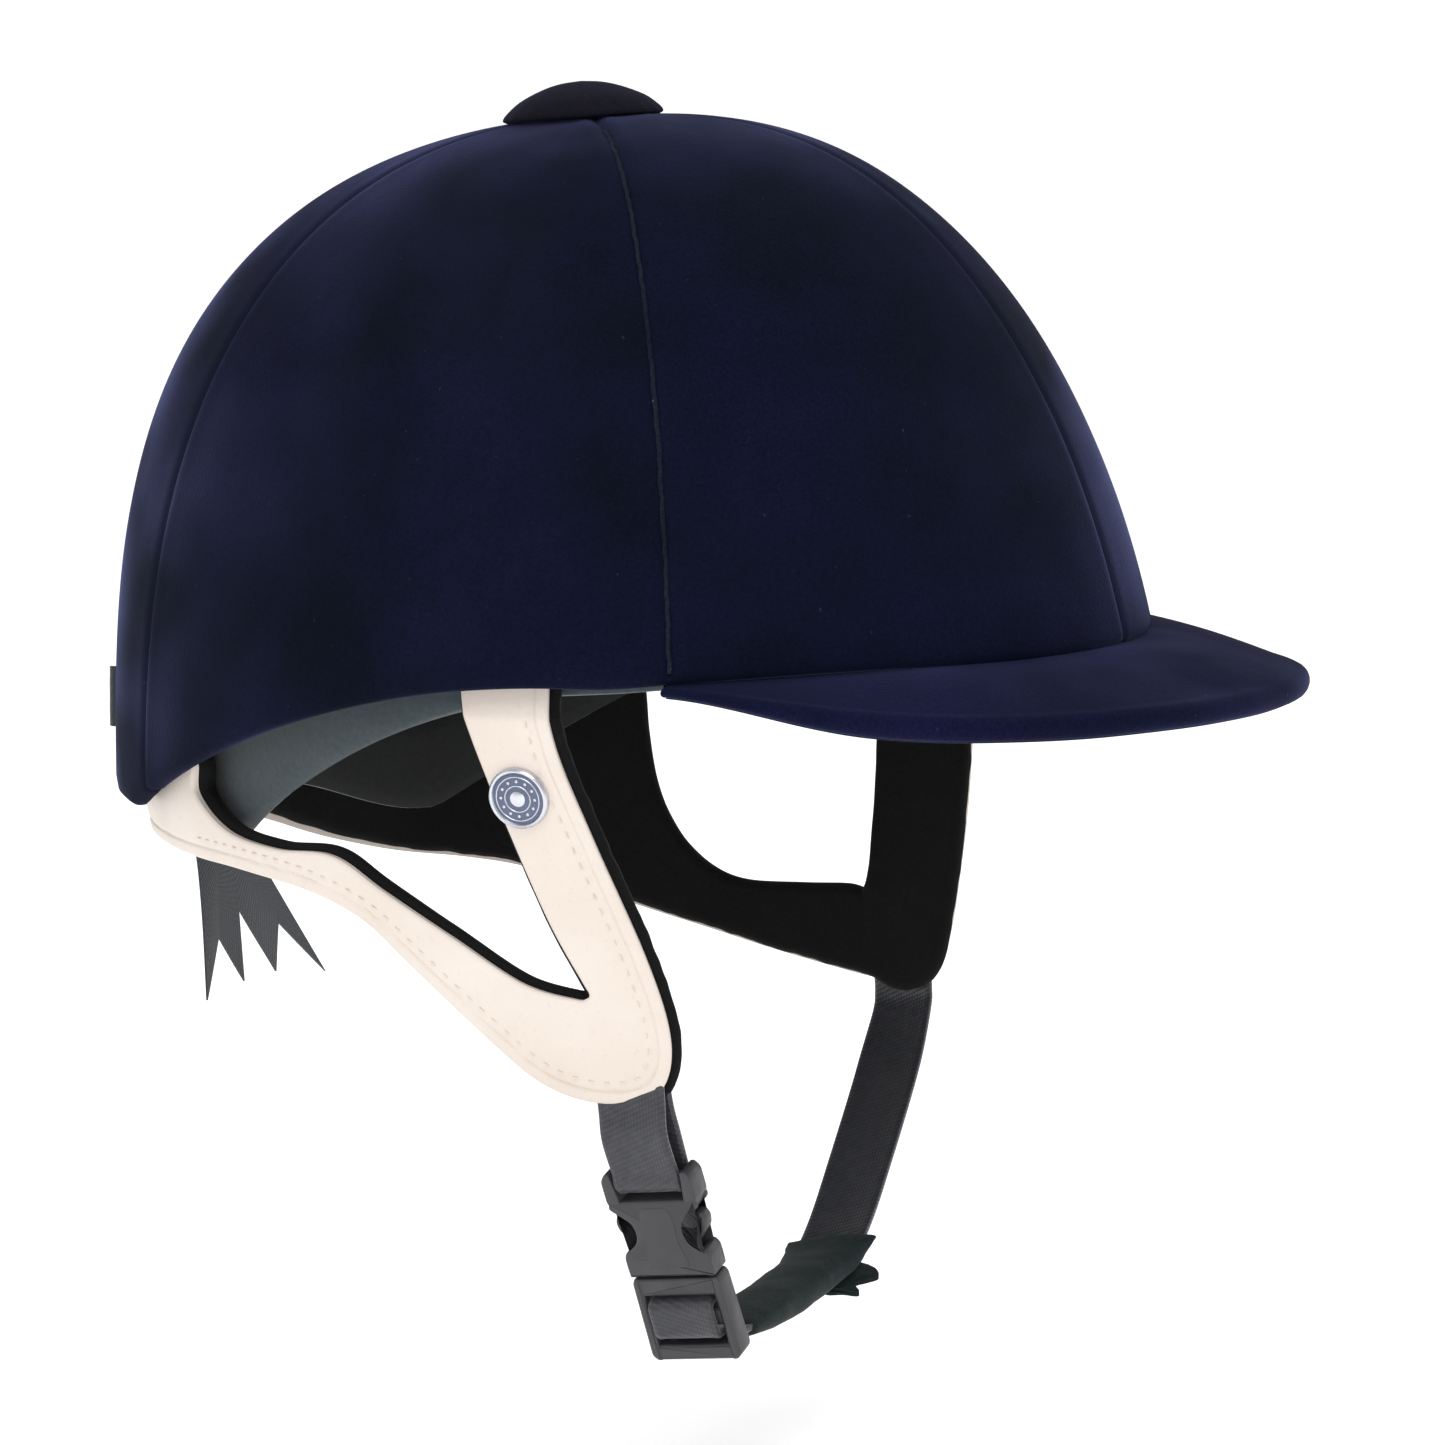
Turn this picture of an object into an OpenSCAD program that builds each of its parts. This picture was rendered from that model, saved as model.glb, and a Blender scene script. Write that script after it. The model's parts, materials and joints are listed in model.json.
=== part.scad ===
// Velvet-covered riding helmet with a peak, leather harness and a chin strap.
// +X points forward, +Y to the wearer's left, +Z up.

/* [Crown] */
// Crown front, forward of the origin at its base
crown_front = 125.7; // [122:0.1:130]
// Crown rear, behind the origin at its base
crown_rear = 126.2; // [122:0.1:130]
// Half of the crown's width at its base
crown_half = 97; // [93:0.5:100]
// Top of the crown above the head opening
crown_top = 123.7; // [120:0.1:128]
// Height of the lowest section of the crown
crown_base = -26; // [-28:0.5:-24]
// Thickness of the velvet with its backing
velvet = 1.2; // [1:0.1:1.6]
// Thickness of the hard shell
shell_wall = 3; // [2.4:0.1:3.4]
// Foam thickness at the sides, from the outside of the crown
foam_side = 15; // [14:0.5:17]
// Extra foam at the front and the rear
foam_ends = 9; // [6:0.5:11]

/* [Peak] */
// How far forward the peak's tip stands
peak_tip = 158; // [154:0.5:166]
// Where the peak's corners meet the crown
peak_corner = 53; // [48:0.5:56]
// Half width of the peak
peak_half = 88; // [86:0.5:90]
// Thickness of the peak
peak_thick = 5.6; // [5:0.1:6.5]

/* [Harness] */
// Half the distance between the harness sides at the crown's rim
harness_half = 90; // [89:0.5:90.5]
// Inward lean of the harness sides, in mm for each mm of height
harness_lean = 0.21; // [0.18:0.01:0.24]
// Leather thickness
leather = 1.6; // [1.4:0.1:2]
// Thickness of the padded lining
lining = 2.6; // [2:0.1:2.8]
// Room between leather and lining, where the webbing is sewn
pocket = 1.4; // [1.3:0.1:1.6]

/* [Chin strap] */
// Webbing width
web_w = 16; // [14:0.5:17]
// Webbing thickness
web_t = 1.5; // [1.2:0.1:1.6]
// Height of the strap's swing axis
swing_z = -84; // [-86:0.5:-83]
// Forward place of the strap's swing axis
swing_x = 36.5; // [34:0.5:38]
// Forward lean of the hanging strap
strap_lean = 8; // [4:0.5:10]
// Buckle width
buckle_w = 22; // [21:0.5:24]
// Buckle thickness
buckle_t = 6.4; // [6:0.1:7]

/* [Button and ribbon] */
// Diameter of the crown button
button_d = 36; // [33:0.5:40]

/* [Hidden] */
$fn = 48;
gap = 0.2;                    // clearance between layers of one body
pole = [-12, 0, -5];          // the crown's panels meet above this point
middle_x = 8;                 // widest section of the crown
section_n = 1.95;             // squareness of the crown seen from above
rise_q = 2.3;                 // roundness of the crown seen from the side
front_p = 1.75;               // how quickly the front, rear and sides curve in with height
rear_p = 3.05;
side_p = 2;
pole_hole = 3.2;              // radius of the hole under the button
seam_side = 52;               // seam angles, from straight ahead
seam_rear = 139;
seam_gap = 0.12;
groove = 12.1;                // depth of the foam's edge, which leaves room for the harness
lip_rise = 6.5;               // the foam ends this far above the crown's rim
harness_room = 1.3;           // the rim's cloth stands this much further in than the groove

// ---- crown surface ----------------------------------------------------------------------
function ease(a, b, x) = let (t = min(1, max(0, (x - a) / (b - a)))) t * t * (3 - 2 * t);
function rise(z, off) = max(0, (z - crown_base) / (crown_top - off - crown_base));
function taper(t, p) = pow(max(0, 1 - pow(t, p)), 1 / rise_q);
function front_a(z, off) = (crown_front - middle_x - off) * taper(rise(z, off), front_p);
function rear_a(z, off) = (crown_rear + middle_x - off) * taper(rise(z, off), rear_p);
function side_a(z, off) = (crown_half - off) * taper(rise(z, off), side_p);
function outside(p, off) =
    rise(p.z, off) >= 1 ? true :
    let (dx = p.x - middle_x, a = dx > 0 ? front_a(p.z, off) : rear_a(p.z, off))
    pow(abs(dx) / a, section_n) + pow(abs(p.y) / side_a(p.z, off), section_n) > 1;
function hit(from, dir, off, lo, hi, n) =
    n == 0 ? from + dir * (lo + hi) / 2 :
    let (mid = (lo + hi) / 2)
    outside(from + dir * mid, off) ? hit(from, dir, off, lo, mid, n - 1)
                                   : hit(from, dir, off, mid, hi, n - 1);
function level_point(phi, z, off) =
    hit([pole.x, 0, z], [cos(phi), sin(phi), 0], off, 5, 190, 22);

// Height of the crown's lower edge: low at the nape, high over the ears, level over the peak
function rim_z(x) =
    x > 34 ? 9.2 + 3 * ease(40, 100, x)
           : max(-29.5, 9.2 - 0.0037 * pow(34 - x, 1.9));
function rim_of(phi) = rim_z(level_point(phi, 0, 0).x);

// Point on the crown at an offset inwards; u runs from the edge (0) to the pole (1)
function crown_point(phi, u, off, lift) =
    let (z0 = rim_of(phi) + lift, edge = level_point(phi, z0, off) - pole,
         e0 = atan2(edge.z, norm([edge.x, edge.y])), e1 = 90 - pole_hole / 2.2,
         e = e0 + (e1 - e0) * u)
    u == 0 ? edge + pole
           : hit(pole, [cos(e) * cos(phi), cos(e) * sin(phi), sin(e)], off, 60, 190, 22);
function radial_off(phi, side, ends) = side + ends * pow(cos(phi), 2);

// ---- meshes ------------------------------------------------------------------------------
// Loops of points joined in order. Each loop is two rails of equal length, out and back.
module loft(loops, closed = false) {
    n = len(loops[0]);
    m = len(loops);
    last = closed ? m - 1 : m - 2;
    sides = [for (i = [0:last], j = [0:n - 1])
        let (a = i * n + j, b = i * n + (j + 1) % n, c = ((i + 1) % m) * n + (j + 1) % n,
             d = ((i + 1) % m) * n + j)
        each [[a, b, c], [a, c, d]]];
    caps = closed ? [] : [for (j = [0:n / 2 - 2])
        let (k = n - 1 - j, e = (m - 1) * n)
        each [[j + 1, j, k], [j + 1, k, k - 1], [e + j, e + j + 1, e + k], [e + j + 1, e + k - 1, e + k]]];
    polyhedron([for (l = loops) each l], concat(sides, caps), convexity = 8);
}

// Curve through the given points
function curve(pts, steps = 4) =
    let (n = len(pts))
    [for (i = [0:n - 2], s = [0:steps - (i == n - 2 ? 0 : 1)])
        let (t = s / steps, p0 = pts[max(0, i - 1)], p1 = pts[i], p2 = pts[i + 1],
             p3 = pts[min(n - 1, i + 2)])
        0.5 * (2 * p1 + (p2 - p0) * t + (2 * p0 - 5 * p1 + 4 * p2 - p3) * t * t
               + (3 * p1 - p0 - 3 * p2 + p3) * t * t * t)];

// A layer of the crown between two angles, from one offset to a deeper one
module crown_layer(phi0, phi1, steps, rows, outer, inner, closed = false) {
    loft([for (i = [0:steps - (closed ? 1 : 0)])
        let (phi = phi0 + (phi1 - phi0) * i / steps)
        concat([for (j = [0:rows]) crown_point(phi, j / rows, outer, 0)],
               [for (j = [rows:-1:0]) crown_point(phi, j / rows, inner, 0)])], closed);
}

module panel(phi0, phi1, steps) {
    crown_layer(phi0 + seam_gap, phi1 - seam_gap, steps, 11, 0, velvet);
}
velvet_colour = [0.07, 0.09, 0.2];
module crown_panel_front_right() { color(velvet_colour) panel(-seam_side, 0, 8); }
module crown_panel_front_left() { color(velvet_colour) panel(0, seam_side, 8); }
module crown_panel_side_right() { color(velvet_colour) panel(-seam_rear, -seam_side, 13); }
module crown_panel_side_left() { color(velvet_colour) panel(seam_side, seam_rear, 13); }
module crown_panel_rear() { color(velvet_colour) panel(seam_rear, 360 - seam_rear, 12); }

module outer_shell() {
    color("dimgray") crown_layer(0, 360, 48, 11, velvet + 2 * gap, velvet + shell_wall, true);
}

// Foam: its outer face steps in at the lower edge, so that the harness passes inside the shell
module foam_liner() {
    steps = 48;
    rows = 9;
    start = velvet + shell_wall + 3 * gap;
    color("gray") loft([for (i = [0:steps - 1])
        let (phi = 360 * i / steps, inner = radial_off(phi, foam_side, foam_ends))
        concat([for (j = [0:rows]) let (u = j / rows)
                    crown_point(phi, u, start + (groove - start) * (1 - ease(0.1, 0.3, u)), lip_rise)],
               [for (j = [rows:-1:0]) crown_point(phi, j / rows, inner, lip_rise)])], true);
}

// A band around the inside: profile points are [offset share, height above the rim]
module band(profile, steps = 48) {
    loft([for (i = [0:steps - 1])
        let (phi = 360 * i / steps, z0 = rim_of(phi), deep = radial_off(phi, foam_side, foam_ends))
        [for (p = profile(phi, deep)) level_point(phi, z0 + p[1], p[0])]], true);
}

// Cloth-lined lower edge of the foam, which shows below the crown
module rim_lining() {
    drop = function (turn) (3.9 + 12.2 * ease(40, 150, turn)) * (1 - 0.6 * ease(148, 175, turn));
    color("slategray") band(function (phi, deep)
        let (turn = abs(phi > 180 ? phi - 360 : phi), d = drop(turn),
             start = groove + harness_room * (1 + 1.7 * ease(85, 120, turn)))
        [[deep + 1, lip_rise - gap], [deep + 2.5, 0], [deep + 2.5, min(-1, 4 - d)], [deep + 1.7, 1.2 - d],
         [deep + 0.9, -d], [start + 1.2, -0.85 * d], [start + 0.2, -0.45 * d], [start, lip_rise - gap]]);
}

module headband() {
    color([0.06, 0.06, 0.07]) band(function (phi, deep)
        [[deep + gap, lip_rise + 0.5], [deep + gap, 20], [deep + gap, 33],
         [deep + 4, 32], [deep + 5, 20], [deep + 4, lip_rise + 1]]);
}

// Soft pad inside the top of the crown
module crown_pad() {
    steps = 48;
    rows = 5;
    color([0.08, 0.08, 0.09]) loft([for (i = [0:steps - 1])
        let (phi = 360 * i / steps, deep = radial_off(phi, foam_side, foam_ends), u0 = 0.52)
        concat([for (j = [0:rows]) crown_point(phi, u0 + (1 - u0) * j / rows, deep + 5 * gap, lip_rise)],
               [for (j = [rows:-1:0])
                   crown_point(phi, u0 + (1 - u0) * j / rows, deep + (j == 0 ? 2 : 5), lip_rise)])], true);
}

// ---- peak --------------------------------------------------------------------------------
function section_y(x, z, off) =
    side_a(z, off) * pow(max(0, 1 - pow(abs(x - middle_x) / front_a(z, off), section_n)), 1 / section_n);
// t runs over the peak from the right corner (-90) to the left one (90), v from root to edge
function peak_point(t, v, depth, inset) =
    let (root_off = 7, zr = 6,
         x_root = peak_corner + (middle_x + front_a(zr, root_off) - peak_corner) * cos(t) - (1 - cos(t)) * 3,
         y_root = sign(t) * section_y(x_root, zr, root_off),
         x_edge = peak_corner + (peak_tip - inset - peak_corner) * cos(t),
         y_edge = (peak_half - inset) * sin(t),
         x = x_root + (x_edge - x_root) * v, y = y_root + (y_edge - y_root) * v,
         z_root = rim_z(x_root + 4) - 0.4,
         z_edge = 4 + 4.6 * pow(abs(sin(t)), 12) + 1.5 * pow(cos(t), 4),
         crest = 1.2 * sin(180 * v) * cos(t), thin = 0.4 + 0.6 * ease(0, 26, 90 - abs(t)))
    [x, y, z_root + (z_edge - z_root) * pow(v, 1.35) + crest - depth * thin];
module peak_layer(top, bottom, inset = 0, turn = 0, steps = 30, rows = 7) {
    loft([for (i = [0:steps])
        let (t = 89.6 - 179.2 * i / steps)
        concat([for (j = [0:rows]) peak_point(t, j / rows, top, inset)],
               [for (j = [rows:-1:0]) peak_point(t, j / rows, bottom, inset + (j == rows ? turn : 0))])]);
}
module peak_top_cover() { color(velvet_colour) peak_layer(0, velvet); }
module peak_core() {
    color("dimgray") peak_layer(velvet + 3 * gap, peak_thick - velvet - 4 * gap, 1.2);
}
module peak_under_cover() { color(velvet_colour) peak_layer(peak_thick - velvet, peak_thick, 0.2, 1); }

// ---- button ------------------------------------------------------------------------------
button_z = 122.2;
button_h = 8.6;
module at_button() { translate([pole.x, 0, button_z]) rotate([0, -4.4, 0]) children(); }
module crown_button() {
    r = button_d / 2;
    color([0.05, 0.05, 0.1]) at_button() difference() {
        rotate_extrude($fn = 64) polygon(concat([[0, 1.4], [r / 2, 1.2], [r - 1.2, 0.3]],
            curve([[r, 0.9], [r - 1, 2.4], [r - 4, 4.7], [r / 2, 6.9], [r / 4, 8.1], [0, button_h]], 6)));
        translate([0, 0, 1]) cylinder(d = 3.2, h = 4.4, $fn = 32);
    }
}
module button_stud() {
    color("silver") at_button() {
        translate([0, 0, -8.6]) cylinder(d = 3, h = 13.8, $fn = 32);
    }
}
module button_nut() {
    color("silver") at_button() translate([0, 0, -7.8]) difference() {
        cylinder(d = 4.8, h = 2.4, $fn = 6);
        translate([0, 0, -1]) cylinder(d = 3.1, h = 5, $fn = 32);
    }
}

// ---- ribbon ------------------------------------------------------------------------------
bow_x = -127;
bow_z = -12;
ribbon_t = 0.8;
module bow_knot() {
    color([0.2, 0.24, 0.28]) translate([bow_x - 3.2, 0, bow_z]) rotate([90, 0, 0])
        linear_extrude(11, center = true) offset(r = 1.5, $fn = 24) square([4, 7], center = true);
}
// Two flat loops, one each side of the knot, against the back of the crown
function back_x(y) = middle_x - rear_a(bow_z, 0)
    * pow(1 - pow(abs(y) / side_a(bow_z, 0), section_n), 1 / section_n);
module bow_loops() {
    ys = [6.2, 11, 17, 23, 27.5];
    near = [for (y = ys) [back_x(y) - 0.4, y]];
    far = [for (y = ys) [back_x(y) - 1.8 - 1.8 * sin(180 * (y - ys[0]) / 21.3), y]];
    color([0.2, 0.24, 0.28]) for (side = [0, 1]) mirror([0, side, 0]) translate([0, 0, bow_z])
        linear_extrude(14, center = true) polygon(concat(near, [for (i = [4:-1:0]) far[i]]));
}
// Swallow-tailed ends that hang from the knot; the swing axis is at the knot's lower edge
tail_axis = [bow_x - 3.2, 0, bow_z - 5.6];
tail_path = curve([[0, -1.8], [0.4, -9], [2.2, -16], [6.6, -23], [8.8, -32], [9.5, -50], [9.5, -80]], 3);
// An end seen from behind: y to the wearer's left, z below the swing axis
module tail(outline, layer) {
    intersection() {
        translate([tail_axis.x - layer, 0, tail_axis.z]) rotate([90, 0, 0])
            linear_extrude(140, center = true) strip(tail_path, ribbon_t);
        translate([tail_axis.x - 10, 0, tail_axis.z]) rotate([90, 0, 90]) linear_extrude(40) polygon(outline);
    }
}
module ribbon_tails() {
    color([0.2, 0.24, 0.28]) {
        tail([[-3, 0], [5, 0], [14, -14], [21, -38], [25.4, -71], [17.3, -59], [7.9, -72.6], [5.3, -38.8],
            [1, -14]], 0);
        tail([[-4, 0], [4, 0], [12, -16], [39.8, -47.9], [64.7, -75.5], [44, -62], [41.3, -71.4], [22, -50],
            [6, -26]], 1.2);
    }
}

// ---- harness -----------------------------------------------------------------------------
function harness_y(z) = harness_half + (z < 0 ? harness_lean * z : -0.2 * z);
function harness_rear(z) = 120.5 + 0.17 * min(0, z + 30);
// The harness seen from the side: the upper end of each strap is inside the shell. The two sides
// hang differently, and the left one has a wider, lower window for the ear.
right_front = curve([[26, 12], [28, -6], [34, -25], [43, -51], [46.7, -68], [45, -79], [39, -84],
    [28, -85], [16, -81.5], [3, -71.5], [-14, -57], [-25, -48.5], [-40, -43.5], [-62, -41.5],
    [-95, -41], [-126, -38]], 4);
right_window = curve([[-77, -17], [-75.5, -26], [-65, -33], [-49, -35], [-32, -34.5], [-19, -41],
    [-2, -50], [14, -59], [27, -61.7], [30, -60], [22, -44], [13.5, -20], [8, -2], [5, 12]], 4);
left_front = curve([[46.5, 12], [47.6, 0], [49, -14], [49.8, -28], [50, -42], [49.2, -58], [48, -70],
    [46, -77.5], [41, -81], [31, -82], [16, -80.5], [-2, -77.6], [-19, -74], [-36, -70], [-51, -65.5],
    [-66, -61], [-92, -57], [-112, -49], [-126, -38]], 3);
left_window = curve([[-60, -8], [-48, -4.5], [-41.5, -16], [-39, -28], [-36, -39], [-32, -47.5], [-26, -55],
    [-18, -60.6], [-8, -63.3], [8, -62.8], [20, -62], [24.8, -62.6], [26.4, -60], [27.2, -52], [26.8, -38],
    [25.8, -22], [24.5, -4], [23.5, 12]], 3);
module side_outline(side) {
    polygon(side < 0 ? concat(right_front, [[-126, -17]], right_window)
                     : concat(left_front, [[-126, -17], [-95, -17], [-77, -15.5]], left_window));
}
// Distance of the harness from the middle plane at a forward place and height
function harness_at(x, z, off = 0) =
    (harness_y(z) - off) * pow(1 - pow(abs(x) / (118 - off), 2.15), 1 / 2.15);
// Curved plate that follows the head, from one depth to a deeper one
module harness_sheet(side, outer, inner) {
    zs = [for (z = [16, 0, -14, -28, -42, -58, -74, -90]) z];
    angles = [for (i = [0:26]) 58 + (180 - 58 + 2) * i / 26 - 2];
    point = function (a, z, off)
        let (rear = a > 90, rx = (rear ? harness_rear(z) : 118) - off, ry = harness_y(z) - off,
             c = cos(a), s = sin(a), e = 2 / (rear ? 2 : 2.15))
        [rx * sign(c) * pow(abs(c), e), side * ry * pow(max(0, s), e), z];
    loft([for (a = side > 0 ? [for (i = [26:-1:0]) angles[i]] : angles)
        concat([for (z = zs) point(min(a, 179.6), z, outer)],
               [for (i = [len(zs) - 1:-1:0]) point(min(a, 179.6), zs[i], inner)])]);
}
module harness_piece(side, outer, inner, grow = 0) {
    intersection() {
        harness_sheet(side, outer, inner);
        rotate([90, 0, 0]) linear_extrude(220, center = true)
            if (grow > 0) offset(delta = grow) side_outline(side); else side_outline(side);
    }
}
module harness_right_leather() { color("antiquewhite") harness_piece(-1, 0, leather); }
module harness_left_leather() { color("antiquewhite") harness_piece(1, 0, leather); }
lining_off = leather + pocket;
module harness_right_lining() {
    color([0.07, 0.07, 0.08]) harness_piece(-1, lining_off, lining_off + lining, 1.8);
}
module harness_left_lining() {
    color([0.07, 0.07, 0.08]) harness_piece(1, lining_off, lining_off + lining, 1.8);
}
// Rivets that hold the straps' upper ends inside the shell
module harness_rivets() {
    color("silver") for (side = [-1, 1]) {
        x = side < 0 ? 16 : 35;
        turn = atan((harness_at(x - 4, 8) - harness_at(x + 4, 8)) / 8);
        translate([x, side * harness_at(x, 8, leather + pocket / 2), 8]) rotate([90, 0, -side * turn])
            cylinder(d = 4, h = pocket / 3, center = true, $fn = 32);
    }
}
badge_spot = [19, -(harness_at(19, -17) + 0.15), -17];
badge_turn = atan((harness_at(15, -17) - harness_at(23, -17)) / 8);
module at_badge() {
    translate(badge_spot) rotate([0, 0, badge_turn]) rotate([90 + atan(harness_lean), 0, 0]) children();
}
module badge_base() {
    color("silver") at_badge() difference() {
        cylinder(d = 13.6, h = 2);
        translate([0, 0, 1.1]) cylinder(d = 11.2, h = 2);
    }
}
module badge_inlay() {
    color([0.32, 0.36, 0.45]) at_badge() translate([0, 0, 1.2]) cylinder(d = 11, h = 0.7);
}

// ---- chin strap --------------------------------------------------------------------------
// In the strap's own plane, u is across the head (+ to the left) and v is upwards
module strap_plane(width) {
    translate([swing_x, 0, swing_z]) rotate([0, -strap_lean, 0]) rotate([90, 0, 90])
        linear_extrude(width, center = true) children();
}
function unit(v) = v / norm(v);
function rail(pts, d) = [for (i = [0:len(pts) - 1])
    let (a = pts[max(0, i - 1)], b = pts[min(len(pts) - 1, i + 1)], t = unit(b - a))
    pts[i] + d * [-t.y, t.x]];
module strip(pts, t) {
    polygon(concat(rail(pts, t / 2), [for (p = [for (i = [len(pts) - 1:-1:0]) i]) rail(pts, -t / 2)[p]]));
}
web_colour = [0.16, 0.17, 0.18];
flap_u = 69.5;                // where the webbing leaves the harness, at the swing axis
clear_v = -3.4;               // the hanging webbing starts this far below the swing axis
buckle_top = [-65, -15.5];
buckle_angle = 17;            // the buckle's lean towards the chin
function along(d, side = 0) = buckle_top + d * [sin(buckle_angle), -cos(buckle_angle)]
                              + side * [cos(buckle_angle), sin(buckle_angle)];
module web_root(side) {
    mid_z = -77;
    root_y = harness_at(swing_x, mid_z, leather + pocket / 2);
    turn = atan((harness_at(swing_x - 8, mid_z) - harness_at(swing_x + 8, mid_z)) / 16);
    color(web_colour) translate([swing_x, side * root_y, mid_z]) rotate([0, 0, -side * turn])
        rotate([side * -atan(harness_lean), 0, 0]) cube([web_w - 1, pocket - 0.8, 10], center = true);
}
module web_root_right() { web_root(-1); }
module web_root_left() { web_root(1); }

// Doubled webbing that carries the female half of the buckle on its bar
bar_d = 3;
bar = along(2.2);
module webbing_right() {
    r = bar_d / 2 + 0.25 + web_t / 2;
    path = concat(curve([[-flap_u - 0.9, clear_v], [-flap_u + 0.6, -8], bar + r * [-1, 0.2]], 3),
                  [for (a = [200:20:340]) bar + r * [cos(a), sin(a)]],
                  curve([bar + r * [1, 0.2], [-flap_u + 3.2, -8], [-flap_u + 1.3, clear_v]], 3));
    color(web_colour) strap_plane(web_w) strip(path, web_t);
}
// Left webbing: down from the harness and through the chin guard
webbing_end = [-45.5, -56.3];
left_path = curve([[flap_u, clear_v], [53, -17.5], [35, -33.6], [20, -46], [8, -52.2], [-8, -54.8],
                   [-26, -55.8], webbing_end], 4);
module webbing_left() {
    color(web_colour) strap_plane(web_w) strip(left_path, web_t);
}
// Soft sleeve on the webbing, under the chin
guard_thick = 7.4;
guard_from = 15;              // steps of the webbing's path that the sleeve starts after
module chin_guard() {
    path = [for (i = [guard_from:len(left_path) - 2]) left_path[i]];
    m = len(path) - 1;
    half = [for (i = [0:m]) guard_thick / 2 * (0.72 + 0.28 * sin(180 * i / m))];
    outer = concat([for (i = [0:m]) rail(path, half[i])[i]], [for (i = [m:-1:0]) rail(path, -half[i])[i]]);
    color([0.13, 0.18, 0.18]) difference() {
        strap_plane(22) polygon(outer);
        strap_plane(web_w + 0.8)
            strip(concat([left_path[guard_from - 1]], path, [webbing_end - [4, 0]]), web_t + 0.6);
    }
}

// ---- buckle ------------------------------------------------------------------------------
// Buckle frame: x across (front to back), y out of the strap, z up along the buckle
module buckle_frame() {
    translate([swing_x, 0, swing_z]) rotate([0, -strap_lean, 0])
        translate([0, buckle_top.x, buckle_top.y]) rotate([buckle_angle, 0, 0]) children();
}
socket_len = 25;
male_len = 46;
module mirrored(pts) {
    polygon(concat(pts, [for (i = [len(pts) - 1:-1:0]) [-pts[i].x, pts[i].y]]));
}
module buckle_female() {
    hw = buckle_w / 2;
    color([0.25, 0.25, 0.27]) buckle_frame() difference() {
        rotate([90, 0, 0]) linear_extrude(buckle_t, center = true)
            offset(r = 0.8, $fn = 24) offset(delta = -0.8)
            mirrored([[0, 0], [hw - 0.5, 0], [hw, -3], [hw, -8], [hw - 3.6, -11],
                      [hw - 4.4, -15], [hw - 3.2, -18.5], [hw - 1.2, -20.5], [hw - 0.6, -socket_len],
                      [0, -socket_len]]);
        // room for the webbing around the bar
        translate([0, 0, -2.6]) cube([web_w + 1.4, buckle_t + 2, 7.1], center = true);
        // mouth for the male half
        translate([0, 0, -17]) cube([buckle_w - 5.8, 3.6, 21], center = true);
        // side windows where the prongs show
        for (s = [-1, 1]) translate([s * (hw - 0.2), 0, -13.6]) cube([7.4, 3.6, 9], center = true);
    }
    color([0.25, 0.25, 0.27]) buckle_frame() translate([0, 0, -2.2]) rotate([0, 90, 0])
        cylinder(d = bar_d, h = web_w + 3, center = true, $fn = 32);
}
module buckle_male() {
    hw = buckle_w / 2;
    color([0.25, 0.25, 0.27]) buckle_frame() {
        difference() {
            union() {
                // ladder-lock frame
                rotate([90, 0, 0]) linear_extrude(buckle_t - 0.6, center = true)
                    offset(r = 1, $fn = 24) offset(delta = -1)
                    mirrored([[0, -socket_len - 0.4], [hw - 0.4, -socket_len - 0.4], [hw, -male_len],
                              [0, -male_len]]);
                // centre guide that enters the socket
                translate([0, 0, -18.6]) cube([3.4, 2.6, 14], center = true);
            }
            translate([0, 0, -31.7]) cube([web_w + 1, buckle_t + 2, 3.4], center = true);
            translate([0, 0, -39.9]) cube([web_w + 1, buckle_t + 2, 4.2], center = true);
        }
    }
}
module prong(s) {
    hw = buckle_w / 2;
    color([0.25, 0.25, 0.27]) buckle_frame() scale([s, 1, 1]) rotate([90, 0, 0])
        linear_extrude(2.6, center = true)
        polygon([[3.6, -24.4], [4.4, -24.9], [5.4, -24.9], [6.2, -24.4], [6.8, -20], [7.3, -18.4],
                 [hw - 2.4, -16.4], [hw - 0.3, -14.2], [hw, -11.8], [hw - 1.6, -10.2], [hw - 3.4, -10.4],
                 [hw - 3.8, -12.4], [hw - 5.4, -15.6], [3.6, -20]]);
}
module prong_front() { prong(1); }
module prong_rear() { prong(-1); }
// Webbing from the chin guard: up through the lower slot, over the bar and back through the upper one
turn_r = 1.6;
function arc(d, side, a0, a1) = [for (i = [0:4])
    let (a = a0 + (a1 - a0) * i / 4) along(d + turn_r * sin(a), side + turn_r * cos(a))];
module webbing_buckle() {
    face = buckle_t / 2 + 0.6;
    path = concat([webbing_end - [1.6, 0.1]], [along(42.4, face + 0.7), along(40.5, 2.2)],
                  arc(38.1, turn_r - face, 90, 180), arc(33.1, turn_r - face, 180, 270),
                  arc(29.9, face - turn_r, 90, 0), [along(26.4, face)]);
    color(web_colour) strap_plane(web_w) strip(path, web_t);
}

crown_panel_front_right();
crown_panel_front_left();
crown_panel_side_right();
crown_panel_side_left();
crown_panel_rear();
outer_shell();
foam_liner();
rim_lining();
headband();
crown_pad();
peak_core();
peak_top_cover();
peak_under_cover();
crown_button();
button_stud();
button_nut();
bow_loops();
bow_knot();
ribbon_tails();
harness_right_leather();
harness_left_leather();
harness_right_lining();
harness_left_lining();
harness_rivets();
badge_base();
badge_inlay();
web_root_right();
web_root_left();
webbing_right();
webbing_left();
chin_guard();
buckle_female();
buckle_male();
prong_front();
prong_rear();
webbing_buckle();
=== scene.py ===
import json
import math

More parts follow.
